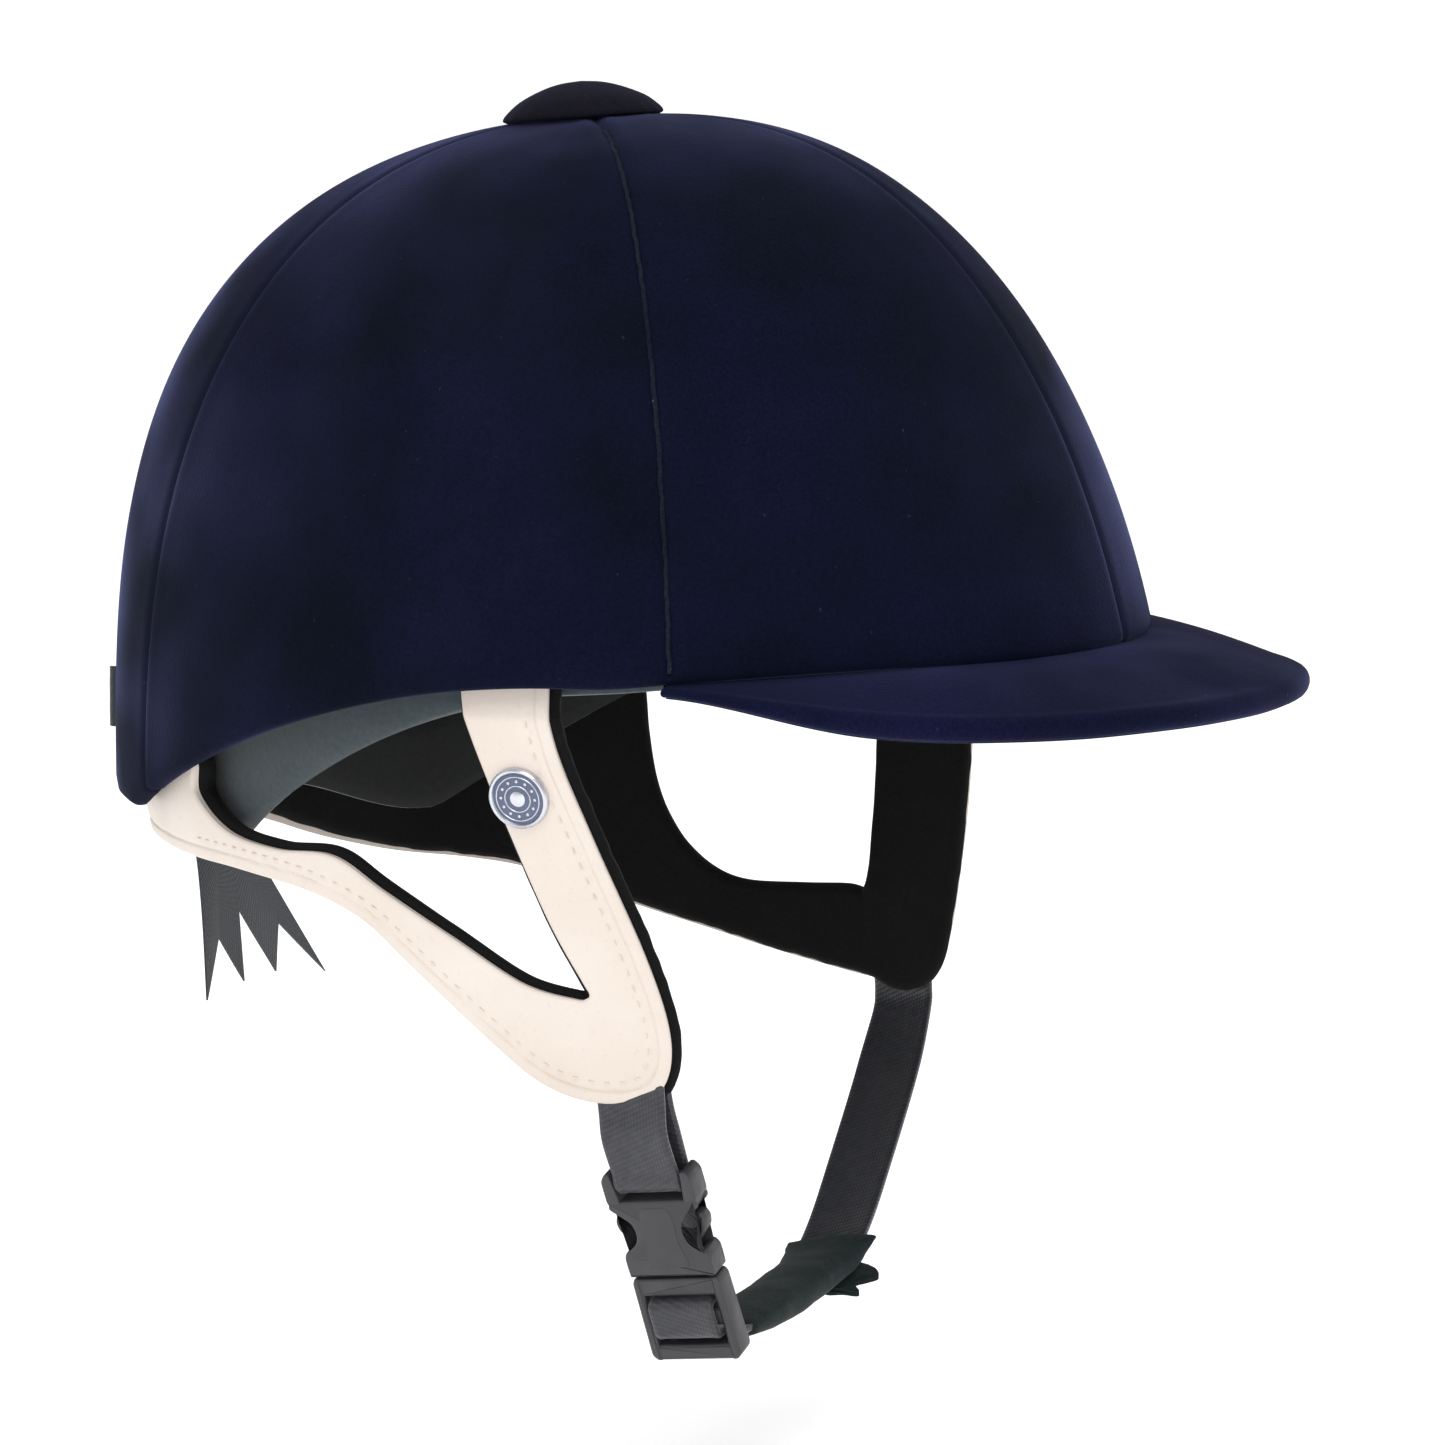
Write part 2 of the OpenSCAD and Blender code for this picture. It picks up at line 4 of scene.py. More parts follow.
import bmesh
import bpy
import numpy as np
from mathutils import Vector, noise
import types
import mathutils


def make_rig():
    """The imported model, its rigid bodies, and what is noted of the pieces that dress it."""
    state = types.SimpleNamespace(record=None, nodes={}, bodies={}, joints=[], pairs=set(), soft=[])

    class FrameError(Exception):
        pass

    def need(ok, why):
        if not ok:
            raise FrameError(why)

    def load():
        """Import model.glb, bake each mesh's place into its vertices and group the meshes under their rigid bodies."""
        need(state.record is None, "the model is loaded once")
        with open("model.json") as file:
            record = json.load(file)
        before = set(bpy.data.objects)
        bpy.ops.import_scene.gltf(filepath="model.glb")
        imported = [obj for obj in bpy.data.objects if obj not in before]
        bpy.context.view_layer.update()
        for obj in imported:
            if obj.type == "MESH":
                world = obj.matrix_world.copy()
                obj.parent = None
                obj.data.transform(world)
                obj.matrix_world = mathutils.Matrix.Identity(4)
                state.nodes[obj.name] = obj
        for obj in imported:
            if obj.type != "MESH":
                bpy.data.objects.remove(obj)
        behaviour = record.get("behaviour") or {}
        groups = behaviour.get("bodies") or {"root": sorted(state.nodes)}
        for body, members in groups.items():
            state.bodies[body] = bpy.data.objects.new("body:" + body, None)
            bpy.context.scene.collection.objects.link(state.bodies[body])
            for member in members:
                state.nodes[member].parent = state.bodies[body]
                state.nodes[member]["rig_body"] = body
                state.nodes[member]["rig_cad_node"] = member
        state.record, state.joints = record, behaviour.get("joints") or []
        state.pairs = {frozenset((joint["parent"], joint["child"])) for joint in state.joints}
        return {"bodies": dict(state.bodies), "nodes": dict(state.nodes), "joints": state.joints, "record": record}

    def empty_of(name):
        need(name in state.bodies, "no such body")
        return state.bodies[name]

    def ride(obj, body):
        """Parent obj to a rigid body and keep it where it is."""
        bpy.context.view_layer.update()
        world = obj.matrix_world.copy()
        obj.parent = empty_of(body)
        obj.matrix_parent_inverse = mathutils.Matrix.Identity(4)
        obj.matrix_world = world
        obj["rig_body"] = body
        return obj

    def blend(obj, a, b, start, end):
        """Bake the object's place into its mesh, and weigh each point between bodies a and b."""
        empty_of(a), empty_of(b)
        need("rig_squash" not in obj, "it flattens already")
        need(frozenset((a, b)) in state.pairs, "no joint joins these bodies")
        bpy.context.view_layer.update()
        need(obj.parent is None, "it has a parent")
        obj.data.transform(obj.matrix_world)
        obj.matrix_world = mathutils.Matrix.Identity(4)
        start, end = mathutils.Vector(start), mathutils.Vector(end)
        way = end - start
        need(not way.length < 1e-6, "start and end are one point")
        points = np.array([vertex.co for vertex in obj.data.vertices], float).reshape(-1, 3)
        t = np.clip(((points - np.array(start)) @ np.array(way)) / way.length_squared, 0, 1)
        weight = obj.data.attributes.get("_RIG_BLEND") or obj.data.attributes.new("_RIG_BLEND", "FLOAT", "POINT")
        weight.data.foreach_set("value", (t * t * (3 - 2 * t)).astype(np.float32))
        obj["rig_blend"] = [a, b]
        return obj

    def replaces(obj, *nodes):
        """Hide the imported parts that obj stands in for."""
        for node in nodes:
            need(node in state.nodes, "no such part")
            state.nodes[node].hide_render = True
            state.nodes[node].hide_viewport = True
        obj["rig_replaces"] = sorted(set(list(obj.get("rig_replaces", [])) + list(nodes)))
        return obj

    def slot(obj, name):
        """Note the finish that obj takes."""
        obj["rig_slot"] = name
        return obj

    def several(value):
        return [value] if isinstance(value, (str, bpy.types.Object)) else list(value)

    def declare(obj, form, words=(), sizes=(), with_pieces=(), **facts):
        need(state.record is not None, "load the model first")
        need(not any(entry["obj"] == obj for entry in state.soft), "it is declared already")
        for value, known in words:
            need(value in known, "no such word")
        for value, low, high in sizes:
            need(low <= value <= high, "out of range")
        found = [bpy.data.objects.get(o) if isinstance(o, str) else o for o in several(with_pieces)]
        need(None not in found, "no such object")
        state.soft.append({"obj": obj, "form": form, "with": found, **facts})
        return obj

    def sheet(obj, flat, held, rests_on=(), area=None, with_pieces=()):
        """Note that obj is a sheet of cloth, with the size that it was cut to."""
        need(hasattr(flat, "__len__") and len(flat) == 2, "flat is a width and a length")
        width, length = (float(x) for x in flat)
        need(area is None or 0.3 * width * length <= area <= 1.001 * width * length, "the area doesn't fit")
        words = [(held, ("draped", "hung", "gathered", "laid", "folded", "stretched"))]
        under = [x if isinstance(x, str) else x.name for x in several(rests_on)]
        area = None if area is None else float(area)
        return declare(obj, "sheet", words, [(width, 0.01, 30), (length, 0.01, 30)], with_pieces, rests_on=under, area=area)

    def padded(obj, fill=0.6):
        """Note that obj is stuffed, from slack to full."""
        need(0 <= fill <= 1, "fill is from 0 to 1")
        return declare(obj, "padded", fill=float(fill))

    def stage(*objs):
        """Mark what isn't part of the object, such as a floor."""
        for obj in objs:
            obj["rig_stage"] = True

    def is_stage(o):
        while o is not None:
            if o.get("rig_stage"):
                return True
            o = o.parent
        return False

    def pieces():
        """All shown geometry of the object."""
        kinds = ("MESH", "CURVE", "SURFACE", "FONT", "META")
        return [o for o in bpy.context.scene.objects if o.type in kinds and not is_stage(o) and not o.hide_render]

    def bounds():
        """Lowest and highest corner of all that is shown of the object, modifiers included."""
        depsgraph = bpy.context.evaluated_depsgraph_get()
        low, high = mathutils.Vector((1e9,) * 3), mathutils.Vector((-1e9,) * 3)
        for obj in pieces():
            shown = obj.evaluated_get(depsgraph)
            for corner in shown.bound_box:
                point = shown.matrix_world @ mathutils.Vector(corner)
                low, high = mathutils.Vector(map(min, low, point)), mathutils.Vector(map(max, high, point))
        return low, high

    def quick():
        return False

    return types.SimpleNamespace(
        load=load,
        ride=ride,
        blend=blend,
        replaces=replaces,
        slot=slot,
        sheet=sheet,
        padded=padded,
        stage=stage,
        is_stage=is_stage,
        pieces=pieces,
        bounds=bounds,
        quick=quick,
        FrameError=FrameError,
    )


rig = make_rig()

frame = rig.load()
cad_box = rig.bounds()

# Lengths below are in millimetres, and new_mesh() turns them into metres.
MM = 0.001

# ---- driving sizes, the same as the CAD model's ---------------------------------------------
CROWN_FRONT, CROWN_REAR, CROWN_HALF, CROWN_TOP, CROWN_BASE = 125.7, 126.2, 97.0, 123.7, -26.0
MIDDLE_X, SECTION_N, RISE_Q, FRONT_P, REAR_P, SIDE_P = 8.0, 1.95, 2.3, 1.75, 3.05, 2.0
POLE = np.array([-12.0, 0.0, -5.0])
POLE_ELEVATION = 88.3
SEAM_SIDE, SEAM_REAR = 52.0, 139.0
FOAM_SIDE, FOAM_ENDS, GROOVE, LIP_RISE, HARNESS_ROOM = 15.0, 9.0, 12.1, 6.5, 1.3
VELVET = 1.2
PEAK_TIP, PEAK_CORNER, PEAK_HALF, PEAK_THICK = 158.0, 53.0, 88.0, 5.6
HARNESS_HALF, HARNESS_LEAN, HARNESS_FRONT = 90.0, 0.21, 118.0
LEATHER, LINING_OUT, LINING_IN = 1.6, 1.75, 5.6
SWING = np.array([36.5, 0.0, -84.0])
STRAP_LEAN = math.radians(8)
WEB_W, WEB_T = 16.0, 1.5
BUCKLE_TOP, BUCKLE_ANGLE = np.array([-65.0, -15.5]), math.radians(17)
BUCKLE_W, BUCKLE_T = 22.0, 6.4
BUTTON_D, BUTTON_H, BUTTON_Z = 36.0, 8.6, 122.2
BOW_Z, NOTCH = -12.0, 0.19
CAMERA_TURN, CAMERA_RISE, CAMERA_REACH = math.radians(27.2), math.radians(8.35), 1187.0


# ---- mesh helpers ---------------------------------------------------------------------------
def new_mesh(name, verts, faces, sharp=40.0):
    """A smooth-shaded object from points in millimetres; edges sharper than that angle stay crisp."""
    mesh = bpy.data.meshes.new(name)
    bm = bmesh.new()
    points = [bm.verts.new(Vector(v) * MM) for v in np.asarray(verts, float)]
    for face in faces:
        if len(set(face)) > 2:
            try:
                bm.faces.new([points[i] for i in face])
            except ValueError:
                pass
    bmesh.ops.remove_doubles(bm, verts=bm.verts, dist=1e-7)
    bmesh.ops.dissolve_degenerate(bm, edges=bm.edges, dist=1e-7)
    bmesh.ops.recalc_face_normals(bm, faces=bm.faces)
    for face in bm.faces:
        face.smooth = True
    for edge in bm.edges:
        edge.smooth = edge.calc_face_angle(0) < math.radians(sharp)
    bm.to_mesh(mesh)
    bm.free()
    obj = bpy.data.objects.new(name, mesh)
    bpy.context.scene.collection.objects.link(obj)
    return obj


def unit(v):
    """Vectors of length 1 along the last axis."""
    return v / np.linalg.norm(v, axis=-1, keepdims=True)


def circle(count):
    """Angles all the way round, in radians."""
    return np.linspace(0, 2 * math.pi, count, endpoint=False)


def lengths_along(points):
    """The distance run at each point of a line."""
    return np.concatenate([[0], np.cumsum(np.linalg.norm(np.diff(points, axis=0), axis=1))])


def signed_power(x, power):
    return np.sign(x) * np.abs(x) ** power


def quads(m, n, start=0, close_m=False, close_n=False, flip=False):
    """Faces of a grid of m rows of n points; either way can close on itself."""
    faces = []
    for i in range(m if close_m else m - 1):
        for j in range(n if close_n else n - 1):
            a, b = start + i * n + j, start + i * n + (j + 1) % n
            c, d = start + ((i + 1) % m) * n + (j + 1) % n, start + ((i + 1) % m) * n + j
            faces.append((a, d, c, b) if flip else (a, b, c, d))
    return faces


def capped(m, n, start=0):
    """Faces of m closed rings of n points, with a cap on both ends."""
    last = start + (m - 1) * n
    ends = [tuple(range(start, start + n))[::-1], tuple(range(last, last + n))]
    return quads(m, n, start, False, True) + ends


def two_sided(name, outer, inner, wrap=False):
    """A closed solid between two grids of the same shape; wrap joins the last row to the first."""
    m, n = outer.shape[:2]
    k = m * n
    verts = np.concatenate([outer.reshape(-1, 3), inner.reshape(-1, 3)])
    faces = quads(m, n, 0, wrap) + quads(m, n, k, wrap, flip=True)
    for i in range(m if wrap else m - 1):
        a, b = i * n, ((i + 1) % m) * n
        faces.append((a, b, b + k, a + k))
        faces.append((b + n - 1, a + n - 1, a + n - 1 + k, b + n - 1 + k))
    if not wrap:
        for j in range(n - 1):
            faces.append((j + 1, j, j + k, j + 1 + k))
            e = (m - 1) * n + j
            faces.append((e, e + 1, e + 1 + k, e + k))
    return new_mesh(name, verts, faces)


def ring(name, loops):
    """Closed cross-sections joined all the way round."""
    m, n = loops.shape[:2]
    return new_mesh(name, loops.reshape(-1, 3), quads(m, n, 0, True, True))


def tube(name, path, radius, sides=8, closed=False):
    """A round cord along a line."""
    path = np.asarray(path, float)
    m = len(path)
    step = np.roll(path, -1, 0) - np.roll(path, 1, 0)
    if not closed:
        step[0], step[-1] = path[1] - path[0], path[-1] - path[-2]
    step = unit(step)
    side = unit(np.cross(step, [0.3, 0.2, 1.0]))
    up = np.cross(side, step)
    a = circle(sides)[:, None]
    rings = path[:, None] + radius * (np.cos(a) * side[:, None] + np.sin(a) * up[:, None])
    faces = quads(m, sides, 0, True, True) if closed else capped(m, sides)
    return new_mesh(name, rings.reshape(-1, 3), faces)


def join(name, objects):
    """Several objects as one, under a new name."""
    with bpy.context.temp_override(active_object=objects[0], object=objects[0],
                                   selected_objects=objects, selected_editable_objects=objects):
        bpy.ops.object.join()
    objects[0].name = name
    objects[0].data.name = name
    return objects[0]


def smooth_curve(points, steps=6):
    """Catmull-Rom curve through the points."""
    p = np.asarray(points, float)
    p = np.concatenate([2 * p[:1] - p[1:2], p, 2 * p[-1:] - p[-2:-1]])
    out = []
    for i in range(1, len(p) - 2):
        for s in range(steps):
            t = s / steps
            out.append(0.5 * (2 * p[i] + (p[i + 1] - p[i - 1]) * t
                              + (2 * p[i - 1] - 5 * p[i] + 4 * p[i + 1] - p[i + 2]) * t * t
                              + (3 * p[i] - p[i - 1] - 3 * p[i + 1] + p[i + 2]) * t ** 3))
    return np.array(out + [p[-2]])


def resample(points, count, places=None):
    """Points at equal lengths along a line; places, when given, holds the length at each point."""
    p = np.asarray(points, float)
    if places is None:
        places = lengths_along(p)
    at = np.linspace(0, places[-1], count)
    return np.stack([np.interp(at, places, p[:, k]) for k in range(p.shape[1])], axis=1)


def ease(a, b, x):
    """0 up to a, 1 from b, and a smooth step between them."""
    t = np.clip((np.asarray(x, float) - a) / (b - a), 0, 1)
    return t * t * (3 - 2 * t)


def wobble(points, scale, seed=0.0):
    """Smooth noise from -1 to 1 at each point."""
    flat = np.asarray(points, float).reshape(-1, 3)
    values = [noise.noise(Vector(p / scale) + Vector((seed, seed * 2, -seed))) for p in flat]
    return np.array(values).reshape(np.asarray(points).shape[:-1])


def map_uv(obj, points, uv_at):
    """A UV map in millimetres: each corner takes uv_at(k) of the nearest of the points."""
    layer = obj.data.uv_layers.new(name="UVMap")
    flat = points.reshape(-1, 3) * MM
    for loop in obj.data.loops:
        gap = flat - np.array(obj.data.vertices[loop.vertex_index].co)
        layer.data[loop.index].uv = uv_at(int(np.argmin((gap ** 2).sum(1))))


# ---- materials ------------------------------------------------------------------------------
def material(name, colour, roughness=0.6, **sockets):
    mat = bpy.data.materials.new(name)
    mat.use_nodes = True
    shader = mat.node_tree.nodes["Principled BSDF"]
    shader.inputs["Base Color"].default_value = (*colour, 1)
    shader.inputs["Roughness"].default_value = roughness
    for key, value in sockets.items():
        shader.inputs[key.replace("_", " ")].default_value = value
    return mat


def add(mat, kind, **settings):
    node = mat.node_tree.nodes.new(kind)
    for key, value in settings.items():
        if key in node.inputs:
            node.inputs[key].default_value = value
        else:
            setattr(node, key, value)
    return node


def link(mat, source, target):
    mat.node_tree.links.new(source, target)


def place(mat, kind="Object"):
    return add(mat, "ShaderNodeTexCoord").outputs[kind]


def noise_of(mat, scale, detail=3.0, roughness=0.5, stretch=None):
    coords = place(mat)
    if stretch:
        mapping = add(mat, "ShaderNodeMapping")
        mapping.inputs["Scale"].default_value = stretch
        link(mat, coords, mapping.inputs["Vector"])
        coords = mapping.outputs["Vector"]
    tex = add(mat, "ShaderNodeTexNoise", Scale=scale, Detail=detail, Roughness=roughness)
    link(mat, coords, tex.inputs["Vector"])
    return tex.outputs["Fac"]


def ramp(mat, value, stops):
    node = add(mat, "ShaderNodeValToRGB")
    while len(node.color_ramp.elements) < len(stops):
        node.color_ramp.elements.new(0.5)
    for element, (position, colour) in zip(node.color_ramp.elements, stops):
        element.position = position
        element.color = (*colour, 1)
    link(mat, value, node.inputs["Fac"])
    return node.outputs["Color"]


def mix(mat, factor, a, b, blend="MIX"):
    node = add(mat, "ShaderNodeMix", data_type="RGBA", blend_type=blend)
    for socket, value in (("Factor_Float", factor), ("A_Color", a), ("B_Color", b)):
        target = next(s for s in node.inputs if s.identifier == socket)
        if isinstance(value, bpy.types.NodeSocket):
            link(mat, value, target)
        else:
            target.default_value = value if isinstance(value, float) else (*value, 1)
    return next(s for s in node.outputs if s.identifier == "Result_Color")


def math_node(mat, operation, a, b=0.5):
    node = add(mat, "ShaderNodeMath", operation=operation)
    for i, value in enumerate((a, b)):
        if isinstance(value, bpy.types.NodeSocket):
            link(mat, value, node.inputs[i])
        else:
            node.inputs[i].default_value = value
    return node.outputs[0]


def finish_material(mat, colour=None, roughness=None, bumps=()):
    shader = mat.node_tree.nodes["Principled BSDF"]
    if colour is not None:
        link(mat, colour, shader.inputs["Base Color"])
    if roughness is not None:
        link(mat, roughness, shader.inputs["Roughness"])
    normal = None
    for height, strength, distance in bumps:
        bump = add(mat, "ShaderNodeBump", Strength=strength, Distance=distance)
        link(mat, height, bump.inputs["Height"])
        if normal is not None:
            link(mat, normal, bump.inputs["Normal"])
        normal = bump.outputs["Normal"]
    if normal is not None:
        link(mat, normal, shader.inputs["Normal"])
    return mat


def grey(level):
    return (level,) * 3


def velvet_material(name, deep, light, lint=0.25, sheen=0.16):
    """Short pile, brushed in patches, with a little pale lint."""
    mat = material(name, deep, 0.92, Specular_IOR_Level=0.08, Sheen_Roughness=0.4,
                   Sheen_Tint=(0.3, 0.34, 0.8, 1))
    nap = noise_of(mat, 26, 3, 0.55)
    brushed = ramp(mat, noise_of(mat, 17, 2, 0.6), [(0.4, grey(0.15 * sheen)), (0.64, grey(1.5 * sheen))])
    link(mat, brushed, mat.node_tree.nodes["Principled BSDF"].inputs["Sheen Weight"])
    patches = ramp(mat, nap, [(0.35, deep), (0.7, light)])
    pile = noise_of(mat, 1500, 2, 0.6)
    tufts = ramp(mat, pile, [(0.3, grey(0.55)), (0.75, (1.25, 1.25, 1.3))])
    colour = mix(mat, 1.0, patches, tufts, "MULTIPLY")
    specks = ramp(mat, noise_of(mat, 700, 1.5, 0.5), [(0.76, grey(0)), (0.81, grey(lint))])
    colour = mix(mat, specks, colour, (0.16, 0.17, 0.22))
    return finish_material(mat, colour, None, [(nap, 0.25, 0.0012), (pile, 0.35, 0.0003)])


def leather_material():
    mat = material("ivory_leather", (0.8, 0.66, 0.55), 0.5, Specular_IOR_Level=0.35)
    shade = ramp(mat, noise_of(mat, 30, 4, 0.55), [(0.3, (0.67, 0.585, 0.515)), (0.7, (0.73, 0.66, 0.6))])
    cells = add(mat, "ShaderNodeTexVoronoi", Scale=1100)
    link(mat, place(mat), cells.inputs["Vector"])
    pores = ramp(mat, noise_of(mat, 900, 1, 0.5), [(0.62, grey(1)), (0.8, (0.95, 0.93, 0.915))])
    colour = mix(mat, 1.0, shade, pores, "MULTIPLY")
    rough = ramp(mat, noise_of(mat, 160, 2, 0.5), [(0.3, grey(0.42)), (0.7, grey(0.58))])
    return finish_material(mat, colour, rough, [(cells.outputs["Distance"], 0.1, 0.0002),
                                                (noise_of(mat, 55, 3, 0.5), 0.18, 0.0008)])


def cloth_material(name, low, high, scale=900, sheen=0.3, rough=0.8, stretch=(1, 1, 1), bump=0.3, spec=0.3):
    mat = material(name, low, rough, Specular_IOR_Level=spec, Sheen_Weight=sheen, Sheen_Roughness=0.5)
    fine = noise_of(mat, scale, 2, 0.6, stretch)
    broad = noise_of(mat, 22, 2, 0.5)
    weave, shade = ramp(mat, fine, [(0.3, low), (0.75, high)]), ramp(mat, broad, [(0.3, low), (0.7, high)])
    colour = mix(mat, 0.4, weave, shade)
    return finish_material(mat, colour, None, [(broad, 0.2, 0.001), (fine, bump, 0.0003)])


def webbing_material(name, low, high, rib=1.15, rough=0.42):
    """Satin webbing: fine ribs across it and fine lines along it. The UV map is in millimetres."""
    mat = material(name, low, rough, Specular_IOR_Level=0.45, Sheen_Weight=0.25, Sheen_Roughness=0.4)
    uv = add(mat, "ShaderNodeSeparateXYZ")
    link(mat, place(mat, "UV"), uv.inputs[0])
    along, across = uv.outputs[0], uv.outputs[1]
    twist = math_node(mat, "MULTIPLY", across, 0.35)
    slanted = math_node(mat, "ADD", along, twist)
    ribs, warp = (math_node(mat, "SINE", math_node(mat, "MULTIPLY", run, 2 * math.pi / pitch))
                  for run, pitch in ((slanted, rib), (across, 0.75)))
    weave = math_node(mat, "MULTIPLY", math_node(mat, "ADD", ribs, 1.2), math_node(mat, "ADD", warp, 1.6))
    level = math_node(mat, "MULTIPLY", weave, 0.18)
    grain = noise_of(mat, 500, 2, 0.6)
    ribbed, mottled = ramp(mat, level, [(0.0, low), (0.9, high)]), ramp(mat, grain, [(0.3, low), (0.7, high)])
    colour = mix(mat, 0.5, ribbed, mottled)
    return finish_material(mat, colour, None, [(level, 0.35, 0.00025), (grain, 0.15, 0.0002)])


def plastic_material(name, base, rough=0.42):
    mat = material(name, base, rough, Specular_IOR_Level=0.5)
    mottle = noise_of(mat, 160, 3, 0.6)
    light = tuple(c * 1.25 for c in base)
    scuffs = noise_of(mat, 420, 2, 0.65, (1, 1, 0.2))
    rough_map = ramp(mat, scuffs, [(0.3, grey(rough - 0.06)), (0.75, grey(rough + 0.12))])
    return finish_material(mat, ramp(mat, mottle, [(0.3, base), (0.7, light)]), rough_map,
                           [(noise_of(mat, 2600, 1, 0.5), 0.12, 0.0001)])


def metal_material(name, colour, rough):
    mat = material(name, colour, rough, Metallic=1.0)
    brushed = noise_of(mat, 700, 3, 0.6, (1, 1, 0.08))
    rough_map = ramp(mat, brushed, [(0.3, grey(rough * 0.75)), (0.7, grey(rough * 1.35))])
    return finish_material(mat, None, rough_map, [(brushed, 0.08, 0.0001)])


M = {
    "velvet": velvet_material("navy_velvet", (0.0008, 0.0026, 0.0085), (0.0034, 0.0044, 0.0205), 0.08, 0.2),
    "peak_velvet": velvet_material("peak_velvet", (0.0018, 0.0032, 0.016), (0.0055, 0.0062, 0.032),
                                   sheen=0.17),
    "seam": velvet_material("seam_velvet", (0.004, 0.008, 0.015), (0.014, 0.020, 0.030), lint=0.9, sheen=0.1),
    "button": velvet_material("button_velvet", (0.0035, 0.0032, 0.006), (0.007, 0.0065, 0.012), 0.1, 0.05),
    "leather": leather_material(),
    "thread": cloth_material("ivory_thread", (0.66, 0.55, 0.47), (0.8, 0.7, 0.62), 2500, 0.2),
    "suede": cloth_material("black_suede", (0.0035, 0.0035, 0.004), (0.009, 0.0088, 0.009), 1400, 0.03, 0.9,
                            spec=0.12),
    "slate": cloth_material("slate_knit", (0.025, 0.037, 0.044), (0.048, 0.066, 0.076), 700, 0.35, 0.85),
    # inner: a darker copy of the slate knit, painted shade for the inside of the rim band
    "inner": cloth_material("knit_painted_shade", (0.006, 0.0065, 0.007), (0.014, 0.015, 0.016), 800, 0.05, 0.85),
    "satin": cloth_material("black_satin", (0.004, 0.004, 0.005), (0.012, 0.012, 0.014), 1200, 0.2, 0.5,
                            (1, 1, 0.3)),
    "foam": cloth_material("foam_beads", (0.011, 0.011, 0.012), (0.024, 0.024, 0.026), 420, 0.0, 0.9,
                           bump=0.5),
    "webbing": webbing_material("charcoal_webbing", (0.018, 0.0185, 0.023), (0.047, 0.048, 0.057)),
    "ribbon": webbing_material("slate_grosgrain", (0.0055, 0.0095, 0.015), (0.0125, 0.0185, 0.027), 1.0, 0.6),
    "guard": cloth_material("green_black_suede", (0.006, 0.011, 0.012), (0.019, 0.029, 0.030), 1100, 0.06,
                            0.9, spec=0.15),
    "plastic": plastic_material("charcoal_acetal", (0.030, 0.0295, 0.034)),
    "shell": plastic_material("shell_plastic", (0.02, 0.02, 0.022), 0.6),
    "steel": metal_material("zinc_steel", (0.55, 0.55, 0.56), 0.3),
    "ring": metal_material("badge_metal", (0.62, 0.63, 0.68), 0.28),
    "enamel": plastic_material("slate_enamel", (0.075, 0.095, 0.16), 0.3),
}


def cover(obj, mat):
    obj.data.materials.clear()
    obj.data.materials.append(M[mat])


def dress(obj, mat, body, slot, *nodes):
    """Material, body, the record's slot and the CAD nodes that the piece stands for."""
    cover(obj, mat)
    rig.ride(obj, body)
    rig.slot(obj, slot)
    if nodes:
        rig.replaces(obj, *nodes)
    return obj


# ---- crown surface --------------------------------------------------------------------------
def taper(t, power):
    return np.maximum(1e-9, 1 - np.minimum(t, 1) ** power) ** (1 / RISE_Q)


def rise(z, off):
    return np.maximum(0, (z - CROWN_BASE) / (CROWN_TOP - off - CROWN_BASE))


def semi_axes(x, z, off):
    """Half length, half width and rise of the crown's section at a height, at an offset inwards."""
    t = rise(z, off)
    ahead = (CROWN_FRONT - MIDDLE_X - off) * taper(t, FRONT_P)
    behind = (CROWN_REAR + MIDDLE_X - off) * taper(t, REAR_P)
    return np.where(x > MIDDLE_X, ahead, behind), (CROWN_HALF - off) * taper(t, SIDE_P), t


def outside(p, off):
    a, b, t = semi_axes(p[..., 0], p[..., 2], off)
    value = (np.abs(p[..., 0] - MIDDLE_X) / a) ** SECTION_N + (np.abs(p[..., 1]) / b) ** SECTION_N
    return (value > 1) | (t >= 1)


def hit(start, direction, off):
    """Where rays from inside reach the crown's surface at an offset inwards, by halving."""
    low, high = np.full(direction.shape[:-1], 3.0), np.full(direction.shape[:-1], 195.0)
    for _ in range(34):
        mid = (low + high) / 2
        out = outside(start + direction * mid[..., None], off)
        high = np.where(out, mid, high)
        low = np.where(out, low, mid)
    return start + direction * low[..., None]


def level_points(phi, z, off):
    """Crown points at those headings (degrees), heights and offsets."""
    phi, z, off = np.broadcast_arrays(np.asarray(phi, float), z, off)
    a = np.radians(phi)
    start = np.stack([np.full(z.shape, POLE[0]), np.zeros(z.shape), z], -1)
    return hit(start, np.stack([np.cos(a), np.sin(a), np.zeros(z.shape)], -1), off)


def rim_z(x):
    x = np.asarray(x, float)
    back = np.maximum(-29.5, 9.2 - 0.0037 * np.maximum(0, 34 - x) ** 1.9)
    return np.where(x > 34, 9.2 + 3 * ease(40, 100, x), back)


def rim_of(phi):
    return rim_z(level_points(phi, 0.0, 0.0)[..., 0])


def crown_points(phi, u, off, lift=0.0):
    """u runs from the lower edge (0) to the pole (1)."""
    phi, u, off = np.broadcast_arrays(np.asarray(phi, float), u, off)
    edge = level_points(phi, rim_of(phi) + lift, off) - POLE
    low = np.degrees(np.arctan2(edge[..., 2], np.hypot(edge[..., 0], edge[..., 1])))
    e, a = np.radians(low + (POLE_ELEVATION - low) * u), np.radians(phi)
    d = np.stack([np.cos(e) * np.cos(a), np.cos(e) * np.sin(a), np.sin(e)], -1)
    return hit(POLE, d, off)


def turned(phi):
    """Degrees from straight ahead, either way round."""
    return np.abs((np.asarray(phi, float) + 180) % 360 - 180)


def deep_of(phi):
    """Depth of the foam's inner face under the crown."""
    return FOAM_SIDE + FOAM_ENDS * np.cos(np.radians(phi)) ** 2


